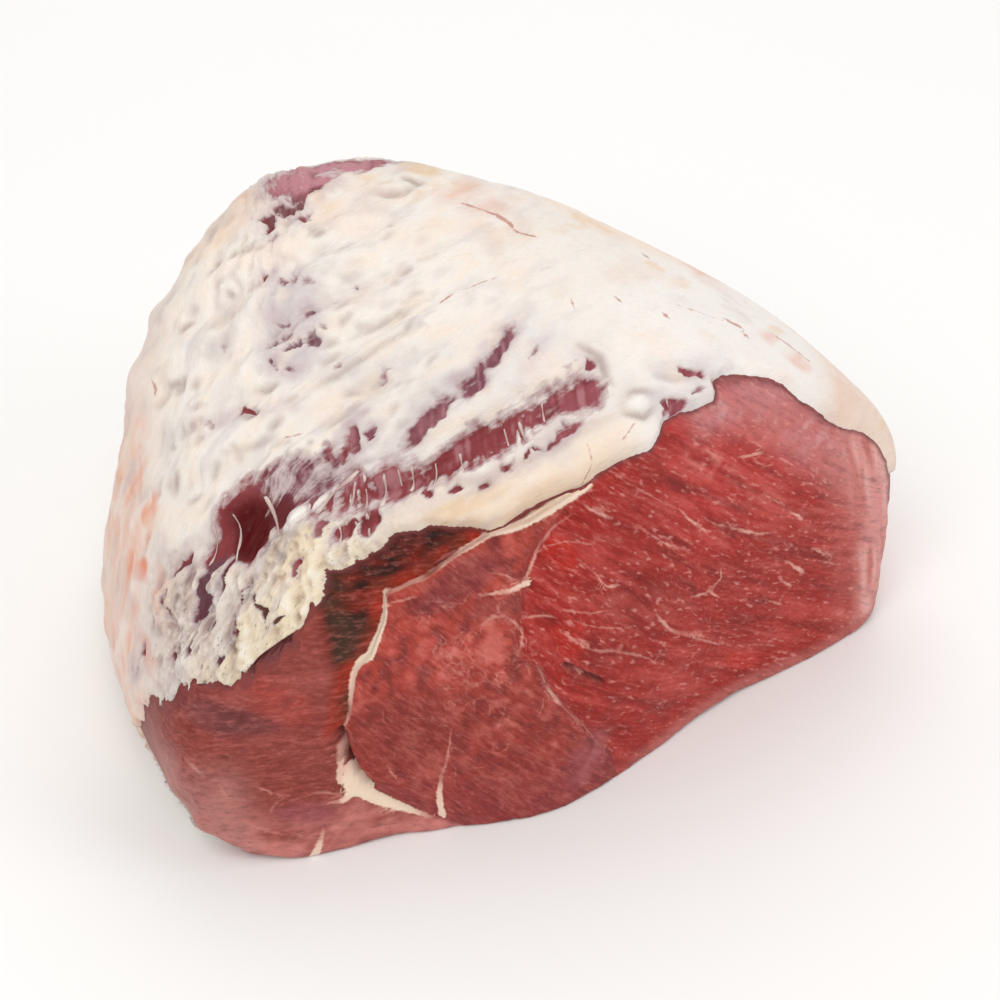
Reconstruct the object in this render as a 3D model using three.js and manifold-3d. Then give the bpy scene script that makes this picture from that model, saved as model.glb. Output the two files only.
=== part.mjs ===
// A whole beef topside, boned and trimmed: one block of raw meat about 30 cm across that rests
// on its flat inner side. Its front is the fresh cut across three muscles. A cap of fat and
// silver skin covers the top, the back and both ends, and stops in a thick rim above the cut.
//
// Frame: millimetres, +Z up. The origin is on the flat underside, straight below the heart of
// the meat. The fresh cut looks towards -Y, and +X runs along it to the right.
import * as THREE from 'three';
import { mergeVertices } from 'three/addons/utils/BufferGeometryUtils.js';
import Module from 'manifold-3d';

const wasm = await Module();
wasm.setup();

// ---- Driving dimensions -----------------------------------------------------------------

// Every radius of the form is measured from the heart, a point this high above the underside.
const HEART_HEIGHT = 62;

// The form is a soft block: flats that lean against the meat from all sides. Each is given by
// the way it faces (turn from +X and lift above level, degrees) and its distance from the heart.
const FRONT_CUTS = {
  freshCut: [-86.2, 6.4, 73.4],
  heelCut: [-112.2, 13.0, 77.3],
};
const END_TRIMS = {
  rightEndTrim: [-21.8, -6.3, 144.9],
};
const GROWN_SIDES = {
  leftEnd: [-183.2, -11.6, 156.0],
  backLeft: [149.2, 14.6, 134.4],
  back: [105.0, 16.2, 148.7],
  backRight: [36.4, 26.9, 124.1],
  rightEnd: [-11.9, 13.8, 141.1],
  leftShoulder: [-123.6, 39.0, 87.8],
  frontShoulder: [-127.9, 71.5, 87.0],
  top: [81.3, 92.9, 101.6],
  rightSlope: [-15.9, 62.7, 96.3],
  topBack: [128.9, 87.6, 119.5],
};
const UNDERSIDE = [0, -90, 65];  // grown too, and then laid flat a little above its lowest point
const GROWN_ROUNDNESS = 7;       // a low power rounds the edges between the grown sides
const KNIFE_ROUNDNESS = 32;      // a high power keeps the edges of a cut crisp

// Swells and hollows of the outline: centre, how far they spread, and how high they stand.
const SWELLS = [
  { at: [-116, -54, 0], spread: 12, height: 2.1 },    // toe of fat under the heel
  { at: [-92, -60, 3], spread: 14, height: -3.8 },    // foot of the open seam, drawn in
  { at: [-55, -77, 0], spread: 20, height: -1.7 },
  { at: [-27, -83, 1], spread: 20, height: 1.4 },     // lower edge of the cut, sagging out
  { at: [46, -74, 2], spread: 24, height: -5.0 },     // lower edge of the cut, drawn in
  { at: [117, -72, 2], spread: 18, height: 0.4 },
  { at: [-134, -42, 5], spread: 18, height: -0.8 },
  { at: [-145, -19, 17], spread: 20, height: 0.7 },
  { at: [93, 31, 117], spread: 26, height: -0.9 },
  { at: [68, 61, 133], spread: 22, height: 1.0 },
  { at: [43, 88, 140], spread: 14, height: -0.6 },
  { at: [-24, 112, 147], spread: 13, height: 2.4 },   // folded fat at the peak
  { at: [-120, 62, 104], spread: 11, height: 2.6 },   // small lobe on the left end
  { at: [-40, -82, 50], spread: 34, height: 2.2 },    // belly of the middle muscle
  { at: [58, -84, 62], spread: 46, height: 2.6 },     // belly of the large right muscle
  { at: [-124, -52, 40], spread: 24, height: 1.8 },   // belly of the small left muscle
  { at: [-60, 170, 60], spread: 40, height: 4.0 },    // lumps of fat on the back
  { at: [60, 160, 50], spread: 34, height: 3.0 },
  { at: [10, 175, 90], spread: 28, height: -3.0 },
  { at: [-140, 60, 70], spread: 30, height: 2.5 },
  { at: [140, 60, 50], spread: 30, height: 2.5 },
];

// The rim where the fat cap ends above the cut: it stands proud of the lean and rolls over.
const RIM_PROUD = 2.2;
const RIM_ROLL_EXTRA = 2.2;      // on the thick roll above the middle muscle
const RIM_ROLL_AT = 20;
const RIM_ROLL_SPREAD = 42;
const RIM_STEP = 3.5;            // height over which the rim rises from the lean
const RIM_FADE = 26;             // distance over which it sinks back into the cap

// The relief below is cut in just clear of the rim's foot, and only in front of this plane.
const RIM_CLEAR = [2, 8];
const SEAMS_FROM_Y = [10, 30];

// Seams between the muscles, as lines across the fresh cut (x, z), with width and depth.
const SEAMS = [
  { path: [[-32, 108], [-62, 96], [-81, 88], [-85, 76], [-97, 56], [-100, 42]], wide: 3.5, deep: 1.8 },
  { path: [[-101, 46], [-101, 34], [-97, 22], [-80, 4]], wide: 4.5, deep: 4.2 },
  { path: [[-30, 100], [-38, 86], [-43, 64], [-33, 46], [-13, 12]], wide: 3.5, deep: 1.4 },
  { path: [[-30, 57], [-12, 43]], wide: 3.0, deep: 1.6 },
];

// The cap is laid out on a flat chart, seen square to its left shoulder: "across" and "rise"
// are the chart's axes in space, and "towards" points out of it.
const CHART_TURN = THREE.MathUtils.degToRad(-36);
const CHART_TILT = THREE.MathUtils.degToRad(38);
const CHART_FADES = [5, 35];     // the chart's relief starts this far in front of the heart

// The strip of thin dark muscle that shows where the fat was pulled away, sunk below the cap.
const STRIP_PATH = [[-88, 36], [-70, 50], [-50, 57], [-19, 66], [7, 77], [34, 88]];
const STRIP_FLOOR = 5;           // distance from its middle to where its floor ends
const STRIP_BANK = 11;           // and to where its banks reach the cap again
const STRIP_DEEP = 3.0;
const WINDOW_AT = [-70, 164];    // bare patch beside the peak, where the skin was lifted
const WINDOW_WIDE = 13;
const WINDOW_DEEP = 2.0;

// Streaks of silver skin over the left of the cap, combed upwards to the right.
const STREAK_HIGH = 1.1;
const STREAK_PITCH = 17;
const STREAK_SLOPE = THREE.MathUtils.degToRad(32);
const STREAK_LEFT = [-122, -97]; // chart positions across over which the streaks come up
const STREAK_RIGHT = [-22, 18];  // and over which they die out

// Facets: a grid over the fresh cuts, then rings from its border to the far end.
const CUT_MIDDLE = [0, 0];       // on the fresh cut's plane, in mm from the foot of the heart
const CUT_HALF_WIDTH = 140;
const CUT_HALF_HEIGHT = 66;
const CUT_COLUMNS = 56;
const CUT_ROWS = 26;
const EDGE_SEARCH = 4;           // the edge is sought out to this many times the half sizes
const EDGE_HALVINGS = 30;
const EVENING_PASSES = 200;
const FULL_RINGS = 12;           // rings with a point for each point of the grid's border
const HALF_RINGS = 9;            // rings with every second point
const QUARTER_RINGS = 2;         // rings with every fourth point
const FIRST_RING_SHARE = 0.75;   // below 1 sets the rings closer together beside the cut
const LAST_RING = 0.96;          // how far the last ring lies on the way to the far end
const FAR_END = [95, 2];         // where the rings close: turn and lift, degrees

const FLOOR_BLOCK_WIDE = 500;    // block that lays the underside flat
const FLOOR_BLOCK_DEEP = 60;

// ---- The form as a radius in every direction ---------------------------------------------

const heart = new THREE.Vector3(0, 0, HEART_HEIGHT);

function facing(turnDegrees, liftDegrees) {
  const turn = THREE.MathUtils.degToRad(turnDegrees);
  const lift = THREE.MathUtils.degToRad(liftDegrees);
  return new THREE.Vector3(
    Math.cos(lift) * Math.cos(turn),
    Math.cos(lift) * Math.sin(turn),
    Math.sin(lift),
  );
}

function flatsOf(table) {
  return Object.values(table).map(([turn, lift, reach]) => ({ normal: facing(turn, lift), reach }));
}

const frontCuts = flatsOf(FRONT_CUTS);
const endTrims = flatsOf(END_TRIMS);
const grownSides = flatsOf({ ...GROWN_SIDES, underside: UNDERSIDE });

const chartAcross = new THREE.Vector3(Math.cos(CHART_TURN), Math.sin(CHART_TURN), 0);
const chartTowards = new THREE.Vector3(
  Math.sin(CHART_TURN) * Math.cos(CHART_TILT),
  -Math.cos(CHART_TURN) * Math.cos(CHART_TILT),
  Math.sin(CHART_TILT),
);
const chartRise = new THREE.Vector3().crossVectors(chartTowards, chartAcross);

/** How strongly each flat presses in a direction: 1 / (distance to that flat). */
function pressOf(flat, direction) {
  return Math.max(0, direction.dot(flat.normal)) / flat.reach;
}

/** The power mean of each group of flats, and of all of them. */
function presses(direction) {
  const meanOf = (pressures, power) =>
    pressures.reduce((sum, press) => sum + press ** power, 0) ** (1 / power);
  const pressing = (flats) => flats.map((flat) => pressOf(flat, direction));
  const grown = meanOf(pressing(grownSides), GROWN_ROUNDNESS);
  const front = meanOf(pressing(frontCuts), KNIFE_ROUNDNESS);
  const trim = meanOf(pressing(endTrims), KNIFE_ROUNDNESS);
  return { grown, front, trim, all: meanOf([grown, front, trim], KNIFE_ROUNDNESS) };
}

/** Height above the rim's foot, in mm: positive on the cap, negative on the fresh cuts. */
function overRim(direction) {
  const press = presses(direction);
  return (press.grown - Math.max(press.front, press.trim)) / press.all ** 2;
}

function smoothStep(value, low, high) {
  const t = THREE.MathUtils.clamp((value - low) / (high - low), 0, 1);
  return t * t * (3 - 2 * t);
}

function bell(distance, spread) {
  return Math.exp(-(distance ** 2) / (2 * spread ** 2));
}

/** Distance from a point to a path of straight stretches, all in the plane. */
function distanceToPath(a, b, path) {
  let nearest = Infinity;
  for (let i = 1; i < path.length; i += 1) {
    const [startA, startB] = path[i - 1];
    const runA = path[i][0] - startA;
    const runB = path[i][1] - startB;
    const along = ((a - startA) * runA + (b - startB) * runB) / (runA ** 2 + runB ** 2);
    const t = THREE.MathUtils.clamp(along, 0, 1);
    nearest = Math.min(nearest, Math.hypot(a - startA - t * runA, b - startB - t * runB));
  }
  return nearest;
}

// ---- Relief, each as a height in mm over the plain form -------------------------------------

function rimRelief(over, across) {
  const proud = RIM_PROUD + RIM_ROLL_EXTRA * bell(across - RIM_ROLL_AT, RIM_ROLL_SPREAD);
  return proud * smoothStep(over, 0, RIM_STEP) * Math.exp(-Math.max(0, over) / RIM_FADE);
}

function seamRelief(over, point) {
  const onCut = smoothStep(-over, 0, RIM_CLEAR[0]) * smoothStep(-point.y, ...SEAMS_FROM_Y);
  return SEAMS.reduce((height, seam) => {
    const away = distanceToPath(point.x, point.z, seam.path);
    return height - onCut * seam.deep * bell(away, seam.wide);
  }, 0);
}

function capRelief(over, across, rise) {
  const onCap = smoothStep(over, ...RIM_CLEAR);
  const fromStrip = distanceToPath(across, rise, STRIP_PATH);
  const strip = STRIP_DEEP * (1 - smoothStep(fromStrip, STRIP_FLOOR, STRIP_BANK));
  const window = WINDOW_DEEP * bell(
    Math.hypot(across - WINDOW_AT[0], rise - WINDOW_AT[1]), WINDOW_WIDE);
  const overStreaks = rise * Math.cos(STREAK_SLOPE) - across * Math.sin(STREAK_SLOPE);
  const combed = STREAK_HIGH * Math.sin((2 * Math.PI * overStreaks) / STREAK_PITCH)
    * smoothStep(across, ...STREAK_LEFT) * (1 - smoothStep(across, ...STREAK_RIGHT));
  return onCap * (combed - strip - window);
}

/** The point of the surface in a direction from the heart. */
function surfacePoint(direction) {
  const plainRadius = 1 / presses(direction).all;
  const plain = direction.clone().multiplyScalar(plainRadius).add(heart);
  const over = overRim(direction);
  const across = plain.dot(chartAcross);
  const rise = plain.dot(chartRise);
  const shown = smoothStep(plain.clone().sub(heart).dot(chartTowards), ...CHART_FADES);

  const swelling = SWELLS.reduce((sum, swell) => {
    const away = plain.distanceTo(new THREE.Vector3(...swell.at));
    return sum + swell.height * bell(away, swell.spread);
  }, 0);
  const relief = swelling + rimRelief(over, across) * shown + seamRelief(over, plain)
    + capRelief(over, across, rise) * shown;
  return direction.clone().multiplyScalar(plainRadius + relief).add(heart);
}

// ---- Facets --------------------------------------------------------------------------------

const [cutTurn, cutLift, cutReach] = FRONT_CUTS.freshCut;
const cutFacing = facing(cutTurn, cutLift);
const cutAcross = new THREE.Vector3(0, 0, 1).cross(cutFacing).normalize();
const cutUpward = new THREE.Vector3().crossVectors(cutFacing, cutAcross);

/** The direction through a point of the fresh cut's plane, given in mm across and up it. */
function throughCut([across, up]) {
  return cutFacing.clone().multiplyScalar(cutReach)
    .addScaledVector(cutAcross, across).addScaledVector(cutUpward, up).normalize();
}

/** Follows a line across the cut's plane, from its middle, to where the cut ends. */
function edgeOfCut(across, up) {
  let inside = 0;
  let outside = EDGE_SEARCH;
  for (let halving = 0; halving < EDGE_HALVINGS; halving += 1) {
    const part = (inside + outside) / 2;
    const at = [CUT_MIDDLE[0] + part * across, CUT_MIDDLE[1] + part * up];
    const { grown, front, trim } = presses(throughCut(at));
    if (front > Math.max(grown, trim)) inside = part;
    else outside = part;
  }
  return [CUT_MIDDLE[0] + inside * across, CUT_MIDDLE[1] + inside * up];
}

/** A grid over the fresh cuts whose border lies on their edge, evened out between them. */
function gridOnCut() {
  const onBorder = (column, row) => column % CUT_COLUMNS === 0 || row % CUT_ROWS === 0;
  const spot = (column, row) => [
    (2 * column / CUT_COLUMNS - 1) * CUT_HALF_WIDTH,
    (2 * row / CUT_ROWS - 1) * CUT_HALF_HEIGHT,
  ];
  let grid = Array.from({ length: CUT_COLUMNS + 1 }, (_, column) =>
    Array.from({ length: CUT_ROWS + 1 }, (__, row) => (
      onBorder(column, row) ? edgeOfCut(...spot(column, row)) : spot(column, row))));
  for (let pass = 0; pass < EVENING_PASSES; pass += 1) {
    grid = grid.map((line, column) => line.map((at, row) => {
      if (onBorder(column, row)) return at;
      const around = [grid[column - 1][row], grid[column + 1][row], line[row - 1], line[row + 1]];
      return [0, 1].map((axis) => around.reduce((sum, other) => sum + other[axis], 0) / 4);
    }));
  }
  return grid;
}

/** Directions, and the quads and triangles between them, from the cut's grid to the far end. */
function layOutFacets() {
  const directions = [];
  const quads = [];
  const triangles = [];
  const addDirection = (direction) => directions.push(direction) - 1;

  const grid = gridOnCut().map((line) => line.map((at) => addDirection(throughCut(at))));
  for (let column = 0; column < CUT_COLUMNS; column += 1) {
    for (let row = 0; row < CUT_ROWS; row += 1) {
      quads.push([grid[column][row], grid[column + 1][row],
        grid[column + 1][row + 1], grid[column][row + 1]]);
    }
  }

  // The border of the grid, once round against the clock as seen from the front.
  const border = [];
  for (let column = 0; column < CUT_COLUMNS; column += 1) border.push(grid[column][0]);
  for (let row = 0; row < CUT_ROWS; row += 1) border.push(grid[CUT_COLUMNS][row]);
  for (let column = CUT_COLUMNS; column > 0; column -= 1) border.push(grid[column][CUT_ROWS]);
  for (let row = CUT_ROWS; row > 0; row -= 1) border.push(grid[0][row]);
  const farEnd = facing(...FAR_END);

  const ringCount = FULL_RINGS + HALF_RINGS + QUARTER_RINGS;
  const stepAt = (ring) => 1 + (ring > FULL_RINGS) + 2 * (ring > FULL_RINGS + HALF_RINGS);
  let inner = border;
  for (let ring = 1; ring <= ringCount; ring += 1) {
    const part = (LAST_RING * ring) / ringCount;
    const share = FIRST_RING_SHARE * part + (1 - FIRST_RING_SHARE) * part ** 2;
    const step = stepAt(ring);
    const outer = [];
    for (let i = 0; i < border.length; i += step) {
      const start = directions[border[i]];
      const turn = Math.acos(start.dot(farEnd));
      outer.push(addDirection(start.clone().multiplyScalar(Math.sin((1 - share) * turn))
        .addScaledVector(farEnd, Math.sin(share * turn)).normalize()));
    }
    const halved = step > stepAt(ring - 1);
    for (let i = 0; i < outer.length; i += 1) {
      const next = (i + 1) % outer.length;
      if (halved) {
        const [a, b, c] = [2 * i, 2 * i + 1, (2 * i + 2) % inner.length].map((k) => inner[k]);
        triangles.push([a, outer[i], b], [b, outer[i], outer[next]], [b, outer[next], c]);
      } else {
        quads.push([inner[i], outer[i], outer[next], inner[next]]);
      }
    }
    inner = outer;
  }
  const last = addDirection(farEnd);
  inner.forEach((index, i) => triangles.push([index, last, inner[(i + 1) % inner.length]]));
  return { directions, quads, triangles };
}

/** Splits each quad along the diagonal that lies nearer to the true surface at its middle. */
function splitQuads(quads, directions, points) {
  return quads.flatMap(([a, b, c, d]) => {
    const middle = new THREE.Vector3();
    [a, b, c, d].forEach((index) => middle.add(directions[index]));
    const truePoint = surfacePoint(middle.normalize());
    const miss = (p, q) => points[p].clone().add(points[q]).multiplyScalar(0.5)
      .distanceTo(truePoint);
    return miss(a, c) < miss(b, d) ? [[a, b, c], [a, c, d]] : [[a, b, d], [b, c, d]];
  });
}

/** The closed form of the meat, before its underside is laid flat. */
function grownForm() {
  const { directions, quads, triangles } = layOutFacets();
  const points = directions.map(surfacePoint);
  const facets = [...splitQuads(quads, directions, points), ...triangles];
  return new wasm.Manifold(new wasm.Mesh({
    numProp: 3,
    vertProperties: Float32Array.from(points.flatMap((point) => point.toArray())),
    triVerts: Uint32Array.from(facets.flat()),
  }));
}

/** A block that fills everything below the level on which the meat rests. */
function belowUnderside() {
  const block = new THREE.BoxGeometry(FLOOR_BLOCK_WIDE, FLOOR_BLOCK_WIDE, FLOOR_BLOCK_DEEP);
  block.translate(0, 0, -FLOOR_BLOCK_DEEP / 2);
  block.deleteAttribute('normal');
  block.deleteAttribute('uv');
  const merged = mergeVertices(block);
  return new wasm.Manifold(new wasm.Mesh({
    numProp: 3,
    vertProperties: Float32Array.from(merged.getAttribute('position').array),
    triVerts: Uint32Array.from(merged.getIndex().array),
  }));
}

function topsideGeometry() {
  const { vertProperties, triVerts } = grownForm().subtract(belowUnderside()).getMesh();
  const geometry = new THREE.BufferGeometry();
  geometry.setAttribute('position', new THREE.BufferAttribute(vertProperties, 3));
  geometry.setIndex(new THREE.BufferAttribute(triVerts, 1));
  geometry.computeVertexNormals();
  return geometry;
}

// ---- The joint of meat ----------------------------------------------------------------------

const rawBeef = new THREE.MeshStandardMaterial({ color: 0xa04a46, roughness: 0.45, metalness: 0 });

const topside = new THREE.Mesh(topsideGeometry(), rawBeef);
topside.name = 'topside';

const group = new THREE.Group();
group.add(topside);

export default group;
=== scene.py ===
"""A whole raw beef topside, boned and trimmed, resting on its flat inner side.

It is dressed in the order in which a butcher would name its parts: the lean, with its seams and
marbling, the cap of fat and silver skin over it, and the threads of fat that bridge the cap's sunk
strip. Lengths are in millimetres until a mesh is made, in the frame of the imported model: +Z up,
the fresh cut towards -Y.
"""
from functools import partial

import bpy
import numpy as np
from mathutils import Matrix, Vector


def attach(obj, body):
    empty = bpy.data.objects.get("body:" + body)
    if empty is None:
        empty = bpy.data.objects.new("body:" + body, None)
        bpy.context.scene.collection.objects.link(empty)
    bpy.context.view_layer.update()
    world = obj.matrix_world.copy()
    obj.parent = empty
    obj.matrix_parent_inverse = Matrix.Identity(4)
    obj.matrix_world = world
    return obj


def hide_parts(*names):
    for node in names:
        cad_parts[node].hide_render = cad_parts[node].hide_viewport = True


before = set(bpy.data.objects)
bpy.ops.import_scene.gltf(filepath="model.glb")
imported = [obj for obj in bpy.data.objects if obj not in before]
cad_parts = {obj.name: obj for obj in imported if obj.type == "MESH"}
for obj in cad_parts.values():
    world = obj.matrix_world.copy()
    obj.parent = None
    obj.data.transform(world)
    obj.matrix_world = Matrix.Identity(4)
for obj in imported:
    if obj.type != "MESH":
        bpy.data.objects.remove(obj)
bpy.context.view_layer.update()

# ---- The studio: a pale floor, soft light and the camera -------------------------------------
# The camera stands at the left shoulder of the joint and looks down on it. Large soft lights
# from above and both sides keep the shadows faint, as in a cut-out picture for a shop.

VIEW_TURN = np.radians(-36)  # the camera's place round the joint, from straight in front
VIEW_LIFT = np.radians(38)
VIEW_TARGET = Vector((0, 0, 0.065))
VIEW_DISTANCE = 0.98

towards = Vector((np.sin(VIEW_TURN) * np.cos(VIEW_LIFT), -np.cos(VIEW_TURN) * np.cos(VIEW_LIFT),
                  np.sin(VIEW_LIFT)))
lens = bpy.data.cameras.new("camera")
lens.lens = 100
lens.sensor_width = 36
camera = bpy.data.objects.new("camera", lens)
camera.location = VIEW_TARGET + VIEW_DISTANCE * towards
camera.rotation_euler = towards.to_track_quat("Z", "Y").to_euler()
bpy.context.collection.objects.link(camera)
bpy.context.scene.camera = camera


def to_linear(hex_colour):
    """An sRGB hex colour as linear light, with an alpha of one."""
    srgb = np.array([int(hex_colour[i:i + 2], 16) for i in (1, 3, 5)]) / 255
    light = np.where(srgb <= 0.04045, srgb / 12.92, ((srgb + 0.055) / 1.055) ** 2.4)
    return (*light.tolist(), 1.0)


def add(material, kind, inputs=None, output=0, **settings):
    """Adds a node with its settings; each input is a value, a hex colour or another node's output."""
    tree = material.node_tree
    node = tree.nodes.new("ShaderNode" + kind)
    for name, value in settings.items():
        setattr(node, name, value)
    for name, value in (inputs or {}).items():
        if isinstance(value, bpy.types.NodeSocket):
            tree.links.new(value, node.inputs[name])
        else:
            node.inputs[name].default_value = to_linear(value) if isinstance(value, str) else value
    return node.outputs[output] if len(node.outputs) else node


def new_material(name):
    """An empty material, and the function that adds a node to it."""
    material = bpy.data.materials.new(name)
    material.use_nodes = True
    material.node_tree.nodes.clear()
    return material, partial(add, material)


FLOOR_HALF = 3.0
FLOOR_DROP = 0.0005  # the floor lies this far below the flat underside
floor_mesh = bpy.data.meshes.new("floor")
floor_mesh.from_pydata([(x * FLOOR_HALF, y * FLOOR_HALF, 0) for x, y in ((-1, -1), (1, -1), (1, 1), (-1, 1))],
                       [], [(0, 1, 2, 3)])
floor = bpy.data.objects.new("floor", floor_mesh)
floor.location.z = -FLOOR_DROP
bpy.context.collection.objects.link(floor)
white_card, put = new_material("white_card")
put("OutputMaterial", {"Surface": put("BsdfDiffuse", {"Color": "#F4F3F1"})})
floor_mesh.materials.append(white_card)

# Soft boxes: name, place, side length, power.
for name, place, side, power in (
    ("overhead_left", (-0.9, -0.7, 1.5), 1.3, 13),
    ("overhead_back", (0.5, 0.8, 1.5), 1.2, 8),
    ("front_right", (1.2, -1.3, 0.8), 1.2, 6),
):
    box = bpy.data.lights.new(name, "AREA")
    box.size = side
    box.energy = power
    lamp = bpy.data.objects.new(name, box)
    lamp.location = place
    lamp.rotation_euler = (Vector(place) - VIEW_TARGET).to_track_quat("Z", "Y").to_euler()
    bpy.context.collection.objects.link(lamp)

surround = bpy.data.worlds.new("surround")
surround.use_nodes = True
sky = surround.node_tree.nodes["Background"].inputs
sky["Color"].default_value = to_linear("#FFFFFF")
sky["Strength"].default_value = 0.62
bpy.context.scene.world = surround
bpy.context.scene.view_settings.view_transform = "Standard"

# ---- Lean: the three muscles of the topside -----------------------------------------------------
# One piece of raw beef under everything else. Its front is cut with a long knife, so the seams
# between the muscles, their marbling and their dried edges show there and on the trimmed right end.

HEART = np.array([0, 0, 62.0])  # every radius of the form is measured from here
# The joint is a block bounded by flats, each given by turn, lift and distance from the heart: the
# knife's are sharp at their edges, and the grown sides are round.
FRONT_TURN = -86.2
FRONT_CUTS = [(FRONT_TURN, 6.4, 73.4), (-112.2, 13.0, 77.3)]
END_TRIMS = [(-21.8, -6.3, 144.9)]
GROWN_SIDES = [
    (-183.2, -11.6, 156.0), (149.2, 14.6, 134.4), (105.0, 16.2, 148.7), (36.4, 26.9, 124.1),
    (-11.9, 13.8, 141.1), (-123.6, 39.0, 87.8), (-127.9, 71.5, 87.0), (81.3, 92.9, 101.6),
    (-15.9, 62.7, 96.3), (128.9, 87.6, 119.5), (0, -90, 65),
]
GROWN_ROUNDNESS, KNIFE_ROUNDNESS = 7, 32
SWELLS = np.array([  # x, y, z, spread, height
    (-116, -54, 0, 12, 2.1), (-92, -60, 3, 14, -3.8), (-55, -77, 0, 20, -1.7), (-27, -83, 1, 20, 1.4),
    (46, -74, 2, 24, -5.0), (117, -72, 2, 18, 0.4), (-134, -42, 5, 18, -0.8), (-145, -19, 17, 20, 0.7),
    (93, 31, 117, 26, -0.9), (68, 61, 133, 22, 1.0), (43, 88, 140, 14, -0.6), (-24, 112, 147, 13, 2.4),
    (-120, 62, 104, 11, 2.6), (-40, -82, 50, 34, 2.2), (58, -84, 62, 46, 2.6), (-124, -52, 40, 24, 1.8),
    (-60, 170, 60, 40, 4.0), (60, 160, 50, 34, 3.0), (10, 175, 90, 28, -3.0), (-140, 60, 70, 30, 2.5),
    (140, 60, 50, 30, 2.5),
])
ACROSS = np.array([np.cos(VIEW_TURN), np.sin(VIEW_TURN), 0])  # the chart on which the cap is laid out
TOWARDS = np.array(towards)
RISE = np.cross(TOWARDS, ACROSS)


def facing(turn, lift):
    """Unit vectors from a turn about +Z and a lift above level, in degrees."""
    turn, lift = np.radians(turn), np.radians(lift)
    return np.stack([np.cos(lift) * np.cos(turn), np.cos(lift) * np.sin(turn), np.sin(lift)], -1)


def smooth(value, low, high):
    """0 below low and 1 above high, with the cubic 3t^2 - 2t^3 between them."""
    t = np.clip((value - low) / (high - low), 0, 1)
    return t * t * (3 - 2 * t)


def fade(value, low, high):
    """1 below low and 0 above high."""
    return 1 - smooth(value, low, high)


def bell(distance, spread):
    """exp(-d^2 / 2s^2)."""
    return np.exp(-distance ** 2 / (2 * spread ** 2))


def cell_numbers(cell, seed):
    """A repeatable random number from 0 to 1 for each whole-numbered cell of space."""
    spread = cell * (73856093, 19349663, 83492791)
    mixed = spread[..., 0] ^ spread[..., 1] ^ spread[..., 2] ^ (seed * 26544357)
    mixed = ((mixed ^ (mixed >> 13)) * 1274126177) & 0xFFFFFFFF
    mixed = ((mixed ^ (mixed >> 15)) * 2246822519) & 0xFFFFFFFF
    return ((mixed ^ (mixed >> 13)) & 0xFFFF) / 65535


def lumps(point, size, seed, layers=3):
    """Soft noise from -1 to 1: random corners of cells `size` mm wide, blended, in halving layers."""
    total, weight = 0, 0
    for layer in range(layers):
        place = point * 2 ** layer / size + 37.3 * layer
        cell = np.floor(place).astype(np.int64)
        part = place - cell
        part = part * part * (3 - 2 * part)
        value = 0
        for corner in np.ndindex(2, 2, 2):
            share = np.prod(np.where(np.array(corner) == 1, part, 1 - part), axis=-1)
            value = value + share * cell_numbers(cell + np.array(corner), seed + layer)
        total = total + (2 * value - 1) * 0.55 ** layer
        weight += 0.55 ** layer
    return total / weight


def flat(u, v):
    """The points (u, v, 0)."""
    return np.stack([u, v, 0 * u], -1)


def along_path(a, b, path):
    """For points (a, b): the distance to a path, signed + on its left, and how far along it in mm."""
    path = np.asarray(path, float)
    best = np.full(np.shape(a), np.inf)
    off, gone = np.zeros(np.shape(a)), np.zeros(np.shape(a))
    walked = 0.0
    for (a0, b0), (a1, b1) in zip(path[:-1, :2], path[1:, :2]):
        run = np.hypot(a1 - a0, b1 - b0)
        ra, rb = (a1 - a0) / run, (b1 - b0) / run
        t = np.clip((a - a0) * ra + (b - b0) * rb, 0, run)
        da, db = a - a0 - t * ra, b - b0 - t * rb
        away = np.hypot(da, db)
        side = np.where(ra * db - rb * da >= 0, 1.0, -1.0)
        nearer = away < best
        best = np.where(nearer, away, best)
        off = np.where(nearer, side * away, off)
        gone = np.where(nearer, walked + t, gone)
        walked += run
    return off, gone


def presses(way):
    """How hard the flats press in each direction (1 / distance), as power means of each group."""
    def mean_of(flats, power):
        flats = np.array(flats, float)
        press = np.maximum(way @ facing(flats[:, 0], flats[:, 1]).T, 0) / flats[:, 2]
        return (press ** power).sum(-1) ** (1 / power)
    grown, sharp = mean_of(GROWN_SIDES, GROWN_ROUNDNESS), KNIFE_ROUNDNESS
    front, trim = mean_of(FRONT_CUTS, sharp), mean_of(END_TRIMS, sharp)
    return grown, front, trim, (grown ** sharp + front ** sharp + trim ** sharp) ** (1 / sharp)


def looks_to_shoulder(way):
    """How squarely the surface faces the chart of the cap, from -1 to 1: its press a small step away."""
    step = 0.002
    slopes = [(presses(way + step * axis)[3] - presses(way - step * axis)[3]) for axis in np.eye(3)]
    normal = np.stack(slopes, -1)
    return (normal / np.linalg.norm(normal, axis=-1, keepdims=True)) @ TOWARDS


# The cap's rim stands proud of the cut, most of all at the roll. The strip and the window are sunk.
RIM_PROUD, RIM_ROLL_EXTRA, RIM_ROLL_AT, RIM_ROLL_SPREAD, RIM_STEP, RIM_FADE = 2.2, 2.2, 20, 42, 3.5, 26
STRIP_PATH = [(-88, 36), (-70, 50), (-50, 57), (-19, 66), (7, 77), (34, 88)]  # chart across, rise
STRIP_FLOOR, STRIP_BANK, STRIP_DEEP = 5, 11, 3.0
WINDOW_AT, WINDOW_WIDE, WINDOW_DEEP = (-70, 164), 13, 2.0
STREAK_HIGH, STREAK_PITCH, STREAK_SLOPE = 1.1, 17, np.radians(32)

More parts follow.
